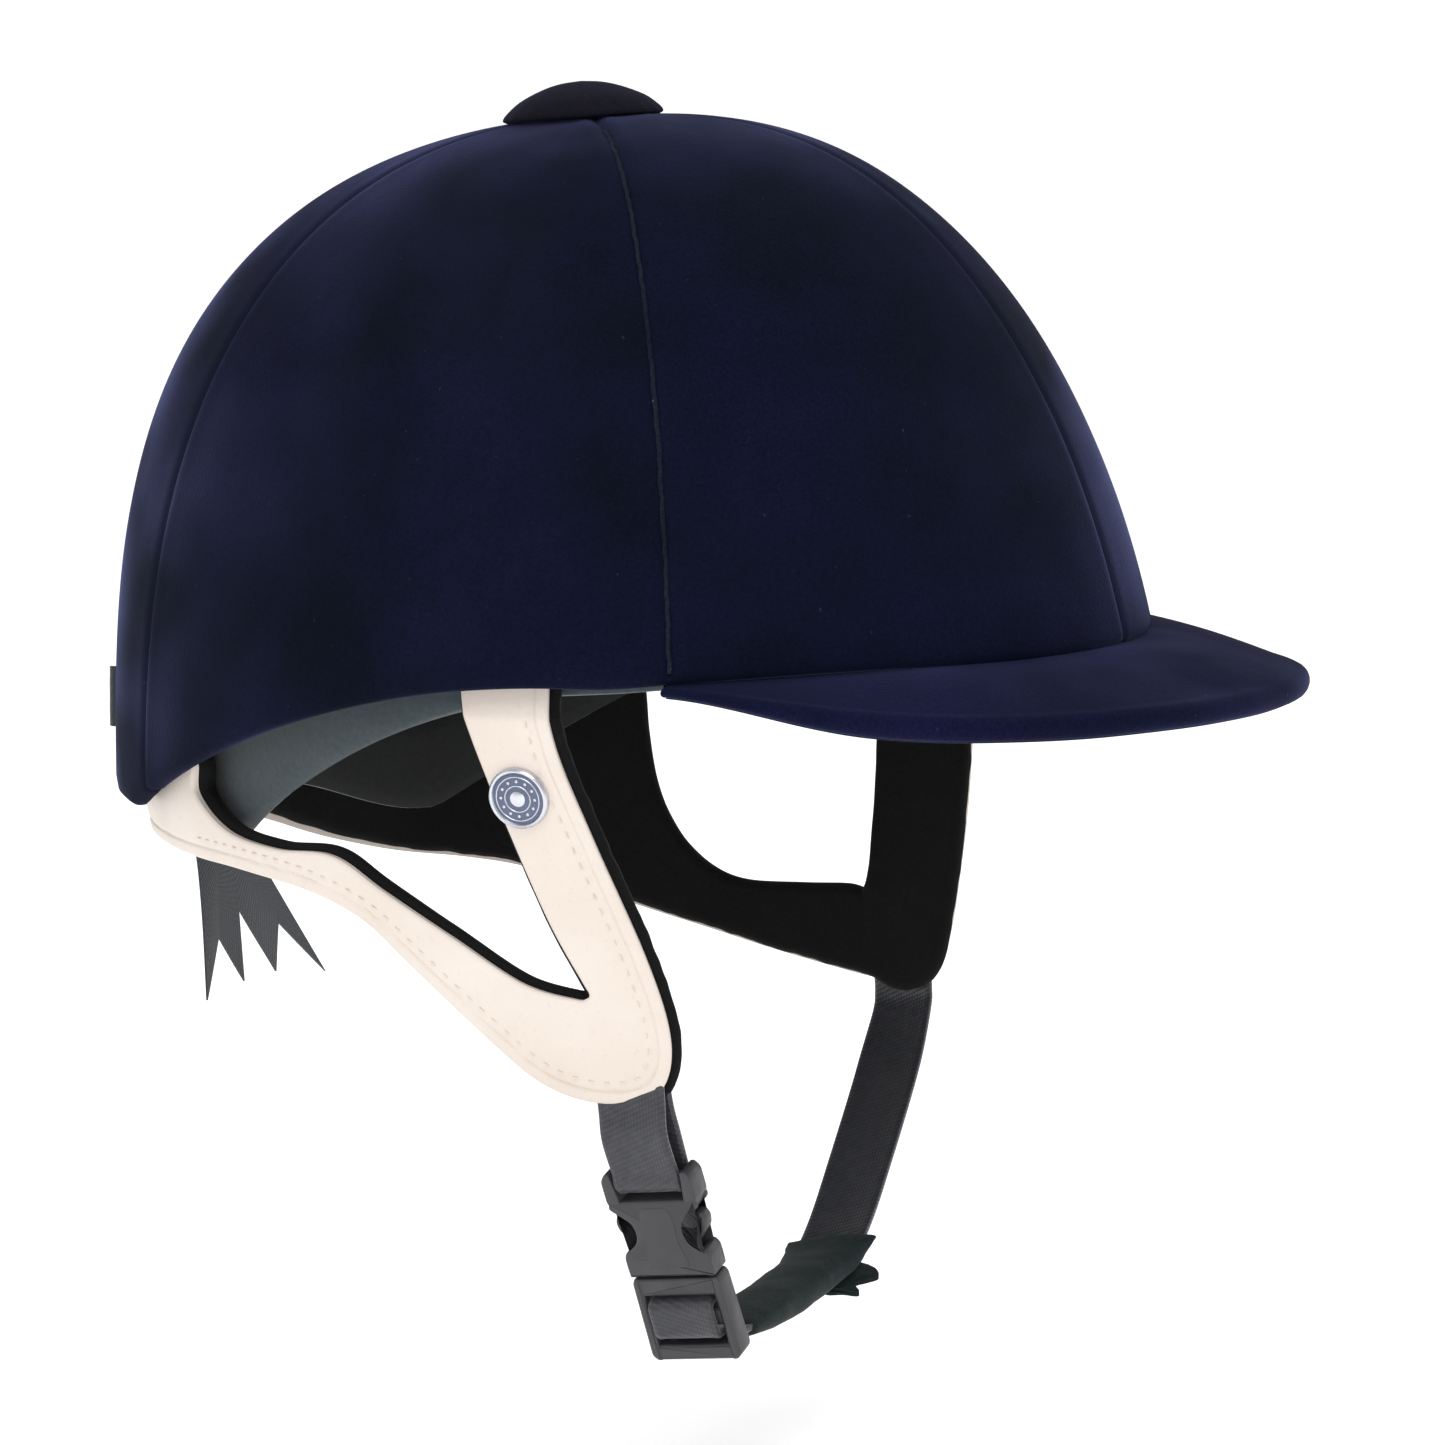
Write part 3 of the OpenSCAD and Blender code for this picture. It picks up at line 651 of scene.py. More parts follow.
# ---- velvet crown ---------------------------------------------------------------------------
LIP_R = 2.4
SEAM_DEPTH, SEAM_WIDTH = 0.8, 1.0


def lip_drop(phi):
    """How far the turned-under velvet reaches below the shell: less where the peak is under it."""
    return 0.7 + 1.1 * ease(48, 62, turned(phi))


def panel(name, start, end, columns):
    """One velvet panel between two headings, sunk at its seams and turned under at the rim."""
    fine = np.array([0, 0.15, 0.35, 0.7, 1.1, 1.7, 2.6])
    middle = np.linspace(start + 3.6, end - 3.6, columns)
    phi = np.concatenate([start + 0.06 + fine, middle, end - 0.06 - fine[::-1]])
    u = np.linspace(1, 0.012, 84) ** 1.05
    grid_phi, grid_u = np.meshgrid(phi, u, indexing="ij")
    body = crown_points(grid_phi, grid_u, 0.0)
    reach = np.hypot(body[..., 0] - POLE[0], body[..., 1])
    distance = reach * np.radians(np.minimum(grid_phi - start, end - grid_phi))
    from_side_seam = np.abs(turned(grid_phi) - SEAM_SIDE) * np.radians(1) * reach
    fold = np.where(from_side_seam < 6, 1.0, 0.35) * (SEAM_DEPTH * np.exp(-(distance / SEAM_WIDTH) ** 2)
                                                     - 0.3 * np.exp(-((distance - 3) / 1.6) ** 2))
    fold = fold * ease(0, 0.1, 1 - grid_u) + 0.14 * wobble(body, 34, 3.0)
    above = body[..., 2] - rim_of(grid_phi) + lip_drop(grid_phi)
    round_edge = LIP_R - np.sqrt(np.maximum(0, LIP_R ** 2 - (LIP_R - above) ** 2))
    lip = np.where(above < LIP_R, round_edge, 0.0)
    outer = crown_points(grid_phi, grid_u, np.maximum(fold, -0.45) + lip)
    inner = crown_points(grid_phi, grid_u, VELVET + 0.12)
    # the turned-under edge, from the lip to the inside of the shell
    lip_phi = np.repeat(phi[:, None], 7, 1)
    foot = rim_of(lip_phi) - lip_drop(lip_phi)
    lip_off = np.array([0.45, 1.1, 1.9, 2.8, 3.7, 4.4, 4.75])
    lip_up = np.array([0.95, 0.3, 0.02, 0.0, 0.15, 0.8, 3.2])
    fold_in = SEAM_DEPTH * np.exp(-(distance[:, -1:] / SEAM_WIDTH) ** 2)
    turn = level_points(lip_phi, foot + lip_up + 0.5 * fold_in, lip_off)
    under_off = np.array([1.25, 1.4, 1.9, 2.8, 3.7, 4.22, 4.4])
    under_up = np.array([0.2, 0.0, 0.0, 0.0, 0.0, 0.05, 3.0])
    under = level_points(lip_phi, rim_of(lip_phi) - 0.12 + under_up, under_off)
    return two_sided(name, np.concatenate([outer, turn], 1), np.concatenate([inner, under], 1))


def make_crown():
    spans = {"front_right": (-SEAM_SIDE, 0, 34), "front_left": (0, SEAM_SIDE, 34),
             "side_right": (-SEAM_REAR, -SEAM_SIDE, 60), "side_left": (SEAM_SIDE, SEAM_REAR, 60),
             "rear": (SEAM_REAR, 360 - SEAM_REAR, 56)}
    for place_name, (start, end, columns) in spans.items():
        piece = panel("velvet_panel_" + place_name, start, end, columns)
        dress(piece, "velvet", "helmet", "velvet", "crown_panel_" + place_name)
    # the sewn ridge that shows in each seam
    cords = []
    for heading in (SEAM_SIDE, -SEAM_SIDE):
        u = np.linspace(0.012, 0.86, 240)
        line = crown_points(np.full(240, float(heading)), u, 0.62)
        line = line + 0.3 * np.stack([wobble(line, 2.3, s) for s in (1, 5, 9)], -1)
        cords.append(tube("cord", line, 0.5))
    dress(join("seam_ridges", cords), "seam", "helmet", "velvet")


# ---- rim, foam, headband and pad ------------------------------------------------------------
def rim_depth(phi):
    """How far the lining reaches below the rim: most behind the ears."""
    return (3.9 + 12.2 * ease(40, 150, turned(phi))) * (1 - 0.6 * ease(148, 175, turned(phi)))


def band_rings(profile, count=180):
    """Rings of a band around the inside; the profile is a list of (offset, height over the rim)."""
    phi = np.linspace(0, 360, count, endpoint=False)
    rows = [level_points(phi, rim_of(phi) + up, off) for off, up in profile(phi)]
    return np.stack(rows, 1)


def rounded(profile):
    """The profile's corner points, joined by a smooth closed curve."""
    def points(phi):
        pts = [np.stack(np.broadcast_arrays(off, up), -1) for off, up in profile(phi)]
        n = len(pts)
        out = []
        for i in range(n):
            b, c = pts[i], pts[(i + 1) % n]
            leave, arrive = 0.6 * (c - pts[i - 1]), 0.6 * (pts[(i + 2) % n] - b)
            for t in (0, 1 / 3, 2 / 3):
                p = b + 0.5 * (leave * t + (6 * (c - b) - 2 * leave - arrive) * t ** 2
                               + (leave + arrive - 4 * (c - b)) * t ** 3)
                out.append((p[..., 0], p[..., 1]))
        return out
    return points


def make_rim():
    def profile(phi):
        d, deep = rim_depth(phi), deep_of(phi)
        start = GROOVE + HARNESS_ROOM * (1 + 1.7 * ease(85, 120, turned(phi)))
        ripple = 0.12 * np.sin(np.radians(phi) * 31)
        return [(start, LIP_RISE - 0.4), (start, 0.0), (start + 0.1, -0.4 * d),
                (start + 0.5 + ripple, -0.68 * d), (start + 1.3, -0.9 * d),
                (np.maximum(start + 2.2, deep + 0.7), -d), (deep + 1.6, 0.8 - d),
                (deep + 2.4, np.minimum(-1.2, 3.6 - d)), (deep + 2.6, 0.0), (deep + 1.6, LIP_RISE - 1.0)]
    rim = ring("rim_lining_cloth", band_rings(rounded(profile)))
    dress(rim, "slate", "helmet", "rim_cloth", "rim_lining")
    # faces that turn inwards take the darker copy of the knit: painted shade on the inside of the band
    rim.data.materials.append(M["inner"])
    for face in rim.data.polygons:
        inward = Vector((POLE[0] * MM, 0, 0)) - face.center
        inward.z = 0
        if face.normal.dot(inward.normalized()) > 0.35:
            face.material_index = 1


def make_foam():
    phi, u = np.meshgrid(np.linspace(0, 360, 120, endpoint=False), np.linspace(0, 1, 40), indexing="ij")
    start = VELVET + 3.6
    outer = crown_points(phi, u, start + (GROOVE - start) * (1 - ease(0.1, 0.3, u)), LIP_RISE)
    inner = crown_points(phi, u, deep_of(phi), LIP_RISE)
    dress(two_sided("foam_liner_shaped", outer, inner, True), "foam", "helmet", "foam", "foam_liner")


def inflate(obj, voxel, cap, frames=14):
    """Swells a closed cloth shape with Blender's cloth simulation, and keeps the result in its mesh."""
    bpy.context.view_layer.objects.active = obj
    remesh = obj.modifiers.new("remesh", "REMESH")
    remesh.mode = "VOXEL"
    remesh.voxel_size = voxel * MM
    bpy.ops.object.modifier_apply(modifier="remesh")
    rest = np.array([v.co for v in obj.data.vertices])
    cloth = obj.modifiers.new("cloth", "CLOTH")
    cloth.settings.use_pressure = True
    cloth.settings.uniform_pressure_force = 4
    cloth.settings.effector_weights.gravity = 0
    cloth.settings.quality = 5
    cloth.point_cache.frame_start, cloth.point_cache.frame_end = 1, frames
    scene = bpy.context.scene
    for step in range(1, frames + 1):
        scene.frame_set(step)
    depsgraph = bpy.context.evaluated_depsgraph_get()
    moved = np.array([v.co for v in obj.evaluated_get(depsgraph).data.vertices]) - rest
    obj.modifiers.remove(cloth)
    scene.frame_set(1)
    length = np.linalg.norm(moved, axis=1)
    moved *= np.minimum(1, cap * MM / np.maximum(length, 1e-9))[:, None]
    obj.data.vertices.foreach_set("co", (rest + moved).ravel().astype(np.float32))
    smooth = obj.modifiers.new("subdivision", "SUBSURF")
    smooth.levels = smooth.render_levels = 1
    bpy.ops.object.modifier_apply(modifier="subdivision")
    for face in obj.data.polygons:
        face.use_smooth = True
    return obj


def press(obj, depth_at):
    """Moves each point against its normal by depth_at(points, normals), in millimetres."""
    co = np.array([v.co for v in obj.data.vertices]) / MM
    normals = np.array([v.normal for v in obj.data.vertices])
    co -= normals * depth_at(co, normals)[:, None]
    obj.data.vertices.foreach_set("co", (co * MM).ravel().astype(np.float32))
    obj.data.update()


def make_headband():
    def profile(phi):
        deep = deep_of(phi)
        return [(deep + 0.5, LIP_RISE + 1.2), (deep + 0.4, 20.0), (deep + 0.5, 31.5), (deep + 2.6, 32.0),
                (deep + 4.0, 20.0), (deep + 3.0, LIP_RISE + 1.4)]
    band = ring("headband_pad", band_rings(rounded(profile), 150))
    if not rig.quick():
        inflate(band, 1.7, 0.9)

    def channels(co, normals):
        facing = (normals[:, 0] * (co[:, 0] - POLE[0]) + normals[:, 1] * co[:, 1]) < 0
        turn = np.degrees(np.arctan2(co[:, 1], co[:, 0] - POLE[0])) % 24
        line = np.exp(-((turn - 12) * 1.6) ** 2)
        return 1.1 * line * facing
    press(band, channels)
    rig.padded(dress(band, "satin", "helmet", "lining_cloth", "headband"), fill=0.5)


def make_crown_pad():
    phi, u = np.meshgrid(np.linspace(0, 360, 96, endpoint=False), np.linspace(0.52, 1, 22), indexing="ij")
    puff = 1.6 * np.sqrt(np.maximum(0, np.sin(np.pi * (u - 0.5) / 0.54)))
    outer = crown_points(phi, u, deep_of(phi) + 0.8, LIP_RISE)
    inner = crown_points(phi, u, deep_of(phi) + 2.4 + puff, LIP_RISE)
    pad = two_sided("crown_pad_quilted", outer, inner, True)
    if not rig.quick():
        inflate(pad, 2.2, 1.2)

    def channels(co, normals):
        below = normals[:, 2] < 0
        turn = np.degrees(np.arctan2(co[:, 1], co[:, 0] - POLE[0])) % 45
        reach = np.hypot(co[:, 0] - POLE[0], co[:, 1])
        spokes = np.exp(-((turn - 22.5) * np.radians(1) * reach / 1.2) ** 2)
        circle = np.exp(-((reach - 40) / 1.3) ** 2)
        return 1.3 * np.maximum(spokes, circle) * below
    press(pad, channels)
    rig.padded(dress(pad, "satin", "helmet", "lining_cloth", "crown_pad"), fill=0.6)


# ---- peak -----------------------------------------------------------------------------------
def peak_points(t, v, depth, inset):
    """t runs from the right corner (-90) to the left one (90), v from root to edge."""
    t, v, depth, inset = np.broadcast_arrays(np.asarray(t, float), v, depth, inset)
    a = np.radians(t)
    root_off, root_z = 7.0, 6.0
    front = (CROWN_FRONT - MIDDLE_X - root_off) * taper(rise(root_z, root_off), FRONT_P)
    half = (CROWN_HALF - root_off) * taper(rise(root_z, root_off), SIDE_P)
    x0 = PEAK_CORNER + (MIDDLE_X + front - PEAK_CORNER) * np.cos(a) - (1 - np.cos(a)) * 3
    share = np.maximum(0, 1 - (np.abs(x0 - MIDDLE_X) / front) ** SECTION_N)
    y0 = np.sign(t) * half * share ** (1 / SECTION_N)
    x1 = PEAK_CORNER + (PEAK_TIP - inset - PEAK_CORNER) * np.cos(a)
    y1 = (PEAK_HALF - inset) * np.sin(a)
    z0 = rim_z(x0 + 4) - 0.4
    z1 = 4 + 4.6 * np.abs(np.sin(a)) ** 12 + 1.5 * np.cos(a) ** 4
    thin = 0.4 + 0.6 * ease(0, 26, 90 - np.abs(t))
    z = z0 + (z1 - z0) * v ** 1.35 + 1.2 * np.sin(np.pi * v) * np.cos(a) - depth * thin
    return np.stack([x0 + (x1 - x0) * v, y0 + (y1 - y0) * v, z], -1)


def make_peak():
    t = 89.6 * np.sin(np.radians(np.linspace(-90, 90, 111)))
    r = PEAK_THICK / 2
    v = np.linspace(0, 1, 34)
    turns = np.radians([18, 38, 58, 78, 98, 118, 138, 158, 176])
    ripple = 0.22

    def sheet(v_rows, depth_rows, inset_rows):
        tt, vv = np.meshgrid(t, v_rows, indexing="ij")
        points = peak_points(tt, vv, np.array(depth_rows)[None, :], np.array(inset_rows)[None, :])
        return points + np.array([0, 0, 1]) * (ripple * wobble(points, 22, 2.0))[..., None]

    # the top cover wraps round the edge; its inner face follows a smaller turn
    v_rows = np.concatenate([v, np.ones(len(turns))])
    top, lower = (sheet(v_rows, np.concatenate([0 * v + r - s, r - s * np.cos(turns)]),
                        np.concatenate([0 * v + r, r - s * np.sin(turns)])) for s in (r, r - VELVET))
    dress(two_sided("peak_velvet_top", top, lower), "peak_velvet", "helmet", "velvet", "peak_top_cover")
    rows = np.linspace(0, 1, 26)
    inset = np.full(26, r + 0.5)
    face = sheet(rows, PEAK_THICK - 0.25 * ease(0.9, 1, rows), inset)
    back = sheet(rows, np.full(26, PEAK_THICK - VELVET), inset)
    dress(two_sided("peak_velvet_under", back, face), "peak_velvet", "helmet", "velvet", "peak_under_cover")
    line = sheet(np.array([1.0]), [PEAK_THICK - 0.12], [r + 0.15])[:, 0]
    dress(tube("peak_seam", line, 0.42), "seam", "helmet", "velvet")


# ---- button ---------------------------------------------------------------------------------
def make_button():
    r = BUTTON_D / 2
    rim = smooth_curve([(0, BUTTON_H), (r / 4, 8.15), (r / 2, 6.9), (r - 4, 4.7), (r - 1, 2.3), (r, 0.9),
                        (r - 0.5, 0.3), (r - 1.8, 0.15), (r * 0.6, 1.0), (2.0, 1.3)], 4)
    count = 96
    a = circle(count)[:, None]
    rad, up = rim[None, :, 0], rim[None, :, 1]
    gather = 0.1 * ease(0.8 * r, r, rad) * np.sin(a * 23 + 0.6 * np.sin(a * 5))
    grid = np.stack([(rad + gather) * np.cos(a), (rad + gather) * np.sin(a), up + 0 * a + 0.3 * gather], -1)
    grid[..., 2] += 0.18 * wobble(grid, 9, 4.0)
    tilt = math.radians(-4.4)
    turn = np.array([[math.cos(tilt), 0, math.sin(tilt)], [0, 1, 0], [-math.sin(tilt), 0, math.cos(tilt)]])
    points = grid.reshape(-1, 3) @ turn.T + np.array([POLE[0], 0, BUTTON_Z])
    n = len(rim)
    faces = quads(count, n, 0, True) + [tuple(i * n + n - 1 for i in range(count))]
    dress(new_mesh("button_covered", points, faces), "button", "helmet", "button_cloth", "crown_button")


# ---- harness --------------------------------------------------------------------------------
# Both edges of each side's strip, seen from the side, point for point: the outer edge runs from the
# front strap's top down and back to the nape, and the inner one round the ear window.
EDGES = {
    -1: ([(26, 12), (28, -6), (34, -25), (43, -51), (46.7, -68), (45, -79), (39, -84), (28, -85), (16, -81.5),
          (3, -71.5), (-14, -57), (-25, -48.5), (-40, -43.5), (-62, -41.5), (-78, -41.3), (-95, -41),
          (-110, -40.6), (-117, -40.4), (-120.6, -40.2)],
         [(5, 12), (8, -2), (13.5, -20), (22, -44), (28.4, -57.6), (29.7, -60.2), (29.0, -61.4), (26, -61.7),
          (14, -59), (-2, -50), (-19, -41), (-32, -34.5), (-49, -35), (-65, -33), (-75.5, -26), (-77, -17),
          (-105, -17), (-117, -17), (-120.6, -17)]),
    1: ([(46.5, 12), (47.6, -2), (49.2, -18), (49.9, -36), (49.4, -54), (48.3, -68), (46.3, -77), (41, -81),
         (30, -82), (16, -80.5), (-2, -77.6), (-19, -74), (-32, -71), (-42, -68.3), (-51, -65.5), (-59, -63),
         (-67, -60.8), (-78, -59), (-92, -57), (-104, -53), (-112, -48), (-117, -43.5), (-120.6, -40.2)],
        [(23.5, 12), (24.5, -4), (25.8, -22), (26.8, -38), (27.2, -52), (26.9, -58), (26.2, -61.2),
         (24.8, -62.6), (20, -62), (8, -62.8), (-8, -63.3), (-18, -60.6), (-26, -55), (-32, -47.5),
         (-36, -39), (-39, -28),
         (-41.5, -16), (-48, -4.5), (-60, -8), (-77, -15.5), (-95, -17), (-117, -17), (-120.6, -17)]),
}
BEHIND_X = {-1: -77, 1: -95}      # behind this the strip's upper edge is inside the shell


def harness_points(xz, off, side):
    """Points on the harness from a side view; x is read at the outer surface."""
    x, z = xz[..., 0], xz[..., 1]
    ry = HARNESS_HALF + np.where(z < 0, HARNESS_LEAN * z, -0.2 * z)
    rear = 120.5 + 0.17 * np.minimum(0, z + 30)
    rx = np.where(x < 0, rear, HARNESS_FRONT)
    power = np.where(x < 0, 1.0, 2 / 2.15)
    c = np.clip(np.abs(x) / rx, 0, 1) ** (1 / power)
    s = np.sqrt(1 - c ** 2)
    return np.stack([np.sign(x) * (rx - off) * c ** power, side * (ry - off) * s ** power, z], -1)


def spaced(count, line_a, line_b):
    """Both edge lines, resampled together by their mean length on the harness."""
    a, b = smooth_curve(line_a, 10), smooth_curve(line_b, 10)
    mean = (harness_points(a, 0, 1) + harness_points(b, 0, 1)) / 2
    step = 0.5 * np.linalg.norm(np.diff(mean, axis=0), axis=1) + 0.25 * (
        np.linalg.norm(np.diff(a, axis=0), axis=1) + np.linalg.norm(np.diff(b, axis=0), axis=1))
    places = np.concatenate([[0], np.cumsum(step)])
    return resample(a, count, places), resample(b, count, places)


def nearest(points, line):
    """Distance from each point to a polyline, in the side view."""
    a, b = line[:-1], line[1:]
    d = b - a
    flat = points.reshape(-1, 2)
    t = np.clip(((flat[:, None] - a) * d).sum(-1) / np.maximum((d * d).sum(-1), 1e-9), 0, 1)
    gap = np.linalg.norm(flat[:, None] - (a + t[..., None] * d), axis=-1)
    return gap.min(1).reshape(points.shape[:-1])


def grown(line, amount):
    """A side-view line moved sideways, to its right."""
    step = unit(np.gradient(line, axis=0))
    return line + np.reshape(amount, (-1, 1)) * np.stack([-step[:, 1], step[:, 0]], 1)


def strip_grid(edge_a, edge_b, near_a, near_b, middle):
    """Side-view grid across a strip, with rows at set distances from both edges."""
    rows = []
    for i in range(len(edge_a)):
        width = np.linalg.norm(edge_b[i] - edge_a[i])
        rest = 1 - np.array(near_b)[::-1] / width
        shares = np.concatenate([np.array(near_a) / width, np.zeros(middle), rest])
        first, last = near_a[-1] / width, 1 - near_b[-1] / width
        if first >= last:
            first, last = 0.49, 0.51
            shares = np.minimum(np.maximum(shares, 0), 1)
            shares[:len(near_a)] = np.minimum(shares[:len(near_a)], first)
            shares[-len(near_b):] = np.maximum(shares[-len(near_b):], last)
        shares[len(near_a):len(near_a) + middle] = np.linspace(first, last, middle + 2)[1:-1]
        rows.append(edge_a[i] + shares[:, None] * (edge_b[i] - edge_a[i]))
    return np.array(rows)


GROOVE_IN, STITCH_IN, STITCH_STEP = 3.0, 5.0, 3.6


def make_harness(side, label):
    edge_a, edge_b = spaced(330, *EDGES[side])
    near_a = [0, 0.12, 0.35, 0.7, 1.3, 2.2, 2.6, 2.85, 3.0, 3.15, 3.4, 3.8, 4.6, 5.4, 6.4]
    near_b = [0, 0.12, 0.35, 0.7, 1.3, 2.4]
    grid = strip_grid(edge_a, edge_b, near_a, near_b, 12)
    from_a, from_b = nearest(grid, edge_a), nearest(grid, edge_b)
    edge = np.minimum(from_a, from_b)
    off = 0.55 * np.maximum(0, 1 - edge / 0.8) ** 2
    off += 0.42 * np.exp(-((from_a - GROOVE_IN) / 0.32) ** 2)
    off -= 0.25 * ease(3.5, 8, from_a) * ease(0, 5, from_b)
    points = harness_points(grid, 0, side)
    off += 0.13 * wobble(points, 13, 7.0)
    leather = two_sided("harness_leather_" + label, harness_points(grid, off, side),
                        harness_points(grid, np.full(off.shape, LEATHER), side))
    dress(leather, "leather", "helmet", "harness_leather", f"harness_{label}_leather")
    # black lining: a softer, thicker strip that shows past both edges of the leather
    rough = 0.35 * wobble(np.pad(edge_a, ((0, 0), (0, 1))), 3.5, 11)
    run = lengths_along(edge_a)
    behind = ease(8, 20, run - run[np.argmax(edge_a[:, 0] - 0.6 * edge_a[:, 1])])
    wide_a = grown(edge_a, 2.0 - 3.0 * behind) + rough[:, None] * 0.8
    wide_b = grown(edge_b, -1.5)
    rows = strip_grid(wide_a, wide_b, [0, 0.25, 0.7, 1.3, 2.2], [0, 0.25, 0.7, 1.3, 2.2], 8)
    inset = np.minimum(nearest(rows, wide_a), nearest(rows, wide_b))
    soft = 1.3 * np.maximum(0, 1 - inset / 1.6) ** 2 + 0.2 * wobble(harness_points(rows, 0, side), 6, 2)
    lining = two_sided("harness_lining_" + label, harness_points(rows, LINING_OUT + soft, side),
                       harness_points(rows, LINING_IN - soft, side))
    dress(lining, "suede", "helmet", "harness_lining", f"harness_{label}_lining")
    make_stitches(grown(edge_a, -STITCH_IN), side, label)


def make_stitches(line, side, label):
    """Short threads along a side-view line, dipping into the leather at both ends."""
    lengths = lengths_along(harness_points(line, 0, side))
    count = int(lengths[-1] / STITCH_STEP)
    verts, faces = [], []
    for k in range(count):
        ends = [lengths[-1] * (k + f) / count for f in (0.15, 0.4, 0.65, 0.8)]
        pts = np.stack([np.interp(ends, lengths, line[:, axis]) for axis in (0, 1)], 1)
        if pts[0, 0] < BEHIND_X[side] or pts[0, 1] > 3:
            continue
        depth = [0.22, -0.22, -0.22, 0.22]
        spine = np.array([harness_points(p[None], d, side)[0] for p, d in zip(pts, depth)])
        along = unit(spine[-1] - spine[0])
        out = unit(np.array([0, side, 0.0]) - along * along[1] * side)
        across = np.cross(along, out)
        start = len(verts)
        for p, r in zip(spine, (0.12, 0.2, 0.2, 0.12)):
            verts += [p + r * (math.cos(a) * across + math.sin(a) * out) for a in circle(6)]
        faces += capped(4, 6, start)
    dress(new_mesh("harness_stitches_" + label, verts, faces), "thread", "helmet", "harness_leather")


# ---- badge ----------------------------------------------------------------------------------
def lathe(profile, count, centre, axes):
    """A profile of (radius, height) turned round the third axis, as (verts, faces)."""
    a = circle(count)[:, None, None]
    x_axis, y_axis, z_axis = axes
    p = np.asarray(profile, float)[None, :, :, None]
    rings = centre + p[:, :, 0] * (np.cos(a) * x_axis + np.sin(a) * y_axis) + p[:, :, 1] * z_axis
    n = len(profile)
    faces = quads(count, n, 0, True)
    faces += [tuple(i * n for i in range(count)), tuple(i * n + n - 1 for i in range(count))[::-1]]
    return rings.reshape(-1, 3), faces


def make_badge():
    spot = np.array([19.0, -17.0])
    here = harness_points(spot[None], 0, -1)[0]
    ahead, above = (harness_points((spot + step)[None], 0, -1)[0] - here for step in ([1, 0], [0, 1]))
    x_axis = unit(ahead)
    z_axis = unit(np.cross(x_axis, above))
    axes = (x_axis, np.cross(z_axis, x_axis), z_axis)
    base = [(6.8, -0.6), (6.8, 0.9), (6.65, 1.35), (6.3, 1.6), (5.95, 1.5), (5.75, 1.15), (5.6, 0.95),
            (0.2, 0.95), (0.2, -0.6)]
    verts, faces = lathe(base, 64, here, axes)
    dress(new_mesh("badge_rim", verts, faces), "ring", "helmet", "badge_metal", "badge_base")
    face = [(5.7, 0.8), (5.7, 1.12), (5.4, 1.22), (3.2, 1.28), (0.2, 1.3), (0.2, 0.8)]
    verts, faces = lathe(face, 64, here, axes)
    dress(new_mesh("badge_face", verts, faces), "enamel", "helmet", "badge_enamel", "badge_inlay")
    # plain decoration: two thin rings, a ring of dots and a round boss
    def round_line(radius, count):
        a = circle(count)[:, None]
        return here + radius * (np.cos(a) * axes[0] + np.sin(a) * axes[1])
    pieces = [tube("thin_ring", round_line(radius, 64) + height * axes[2], 0.14, 8, True)
              for radius, height in ((4.9, 1.26), (2.9, 1.3))]
    for dot in round_line(3.9, 12):
        verts, faces = lathe([(0.34, 1.15), (0.34, 1.3), (0.2, 1.46), (0.04, 1.5)], 12, dot, axes)
        pieces.append(new_mesh("dot", verts, faces))
    verts, faces = lathe([(1.7, 1.15), (1.7, 1.4), (1.4, 1.55), (0.6, 1.7), (0.05, 1.75)], 32, here, axes)
    pieces.append(new_mesh("boss", verts, faces))
    dress(join("badge_relief", pieces), "ring", "helmet", "badge_metal")


# ---- strap plane ----------------------------------------------------------------------------
def strap_points(uv, depth=0.0):
    """From the chin strap's own plane (u to the left, v up) to the frame; depth is forwards."""
    uv = np.asarray(uv, float)
    u, v = uv[..., 0], uv[..., 1]
    c, s = math.cos(STRAP_LEAN), math.sin(STRAP_LEAN)
    depth = np.broadcast_to(depth, u.shape)
    return SWING + np.stack([depth * c - v * s, u, depth * s + v * c], -1)


def along(d, side=0.0):
    """A point in the strap's plane, d down the buckle and side out of its middle."""
    return BUCKLE_TOP + d * np.array([math.sin(BUCKLE_ANGLE), -math.cos(BUCKLE_ANGLE)]) \
        + side * np.array([math.cos(BUCKLE_ANGLE), math.sin(BUCKLE_ANGLE)])


def buckle_points(p):
    """From the buckle's frame (x forwards, y out of the strap, z up along it) to the frame."""
    p = np.asarray(p, float)
    c, s = math.cos(BUCKLE_ANGLE), math.sin(BUCKLE_ANGLE)
    u = BUCKLE_TOP[0] + p[..., 1] * c - p[..., 2] * s
    v = BUCKLE_TOP[1] + p[..., 1] * s + p[..., 2] * c
    return strap_points(np.stack([u, v], -1), p[..., 0])


def flat_strip(name, frames, width, thick):
    """A strap with rounded edges along frames of (centre, across, normal); UVs are in millimetres."""
    half = width / 2
    edge = [(0, 0), (0.12, 0.36), (0.5, 0.5), (1.5, 0.5), (1.8, 0.43)]
    section = [(x - half, y) for x, y in edge] + [(0, 0.47)] + [(half - x, y) for x, y in edge[::-1]]
    section += [(x, -y) for x, y in section[-2:0:-1]]
    n = len(section)
    rings = np.array([[centre + across * x + normal * y * thick for x, y in section]
                      for centre, across, normal in frames])
    obj = new_mesh(name, rings.reshape(-1, 3), capped(len(rings), n), 60)
    lengths = lengths_along(np.array([centre for centre, _, _ in frames]))
    map_uv(obj, rings, lambda k: (lengths[k // n], section[k % n][0] + half))
    return obj


def strap_frames(uv, turn=None):
    """Frames for a strap in the strap's plane; turn twists it a little about its own line."""
    uv = np.asarray(uv, float)
    centre = strap_points(uv)
    forward = strap_points(uv, 1.0) - centre
    normal = unit(np.cross(forward, unit(np.gradient(centre, axis=0))))
    turn = np.zeros(len(uv)) if turn is None else turn
    cos, sin = np.cos(turn)[:, None], np.sin(turn)[:, None]
    across, out = forward * cos + normal * sin, normal * cos - forward * sin
    return list(zip(centre, across, out))


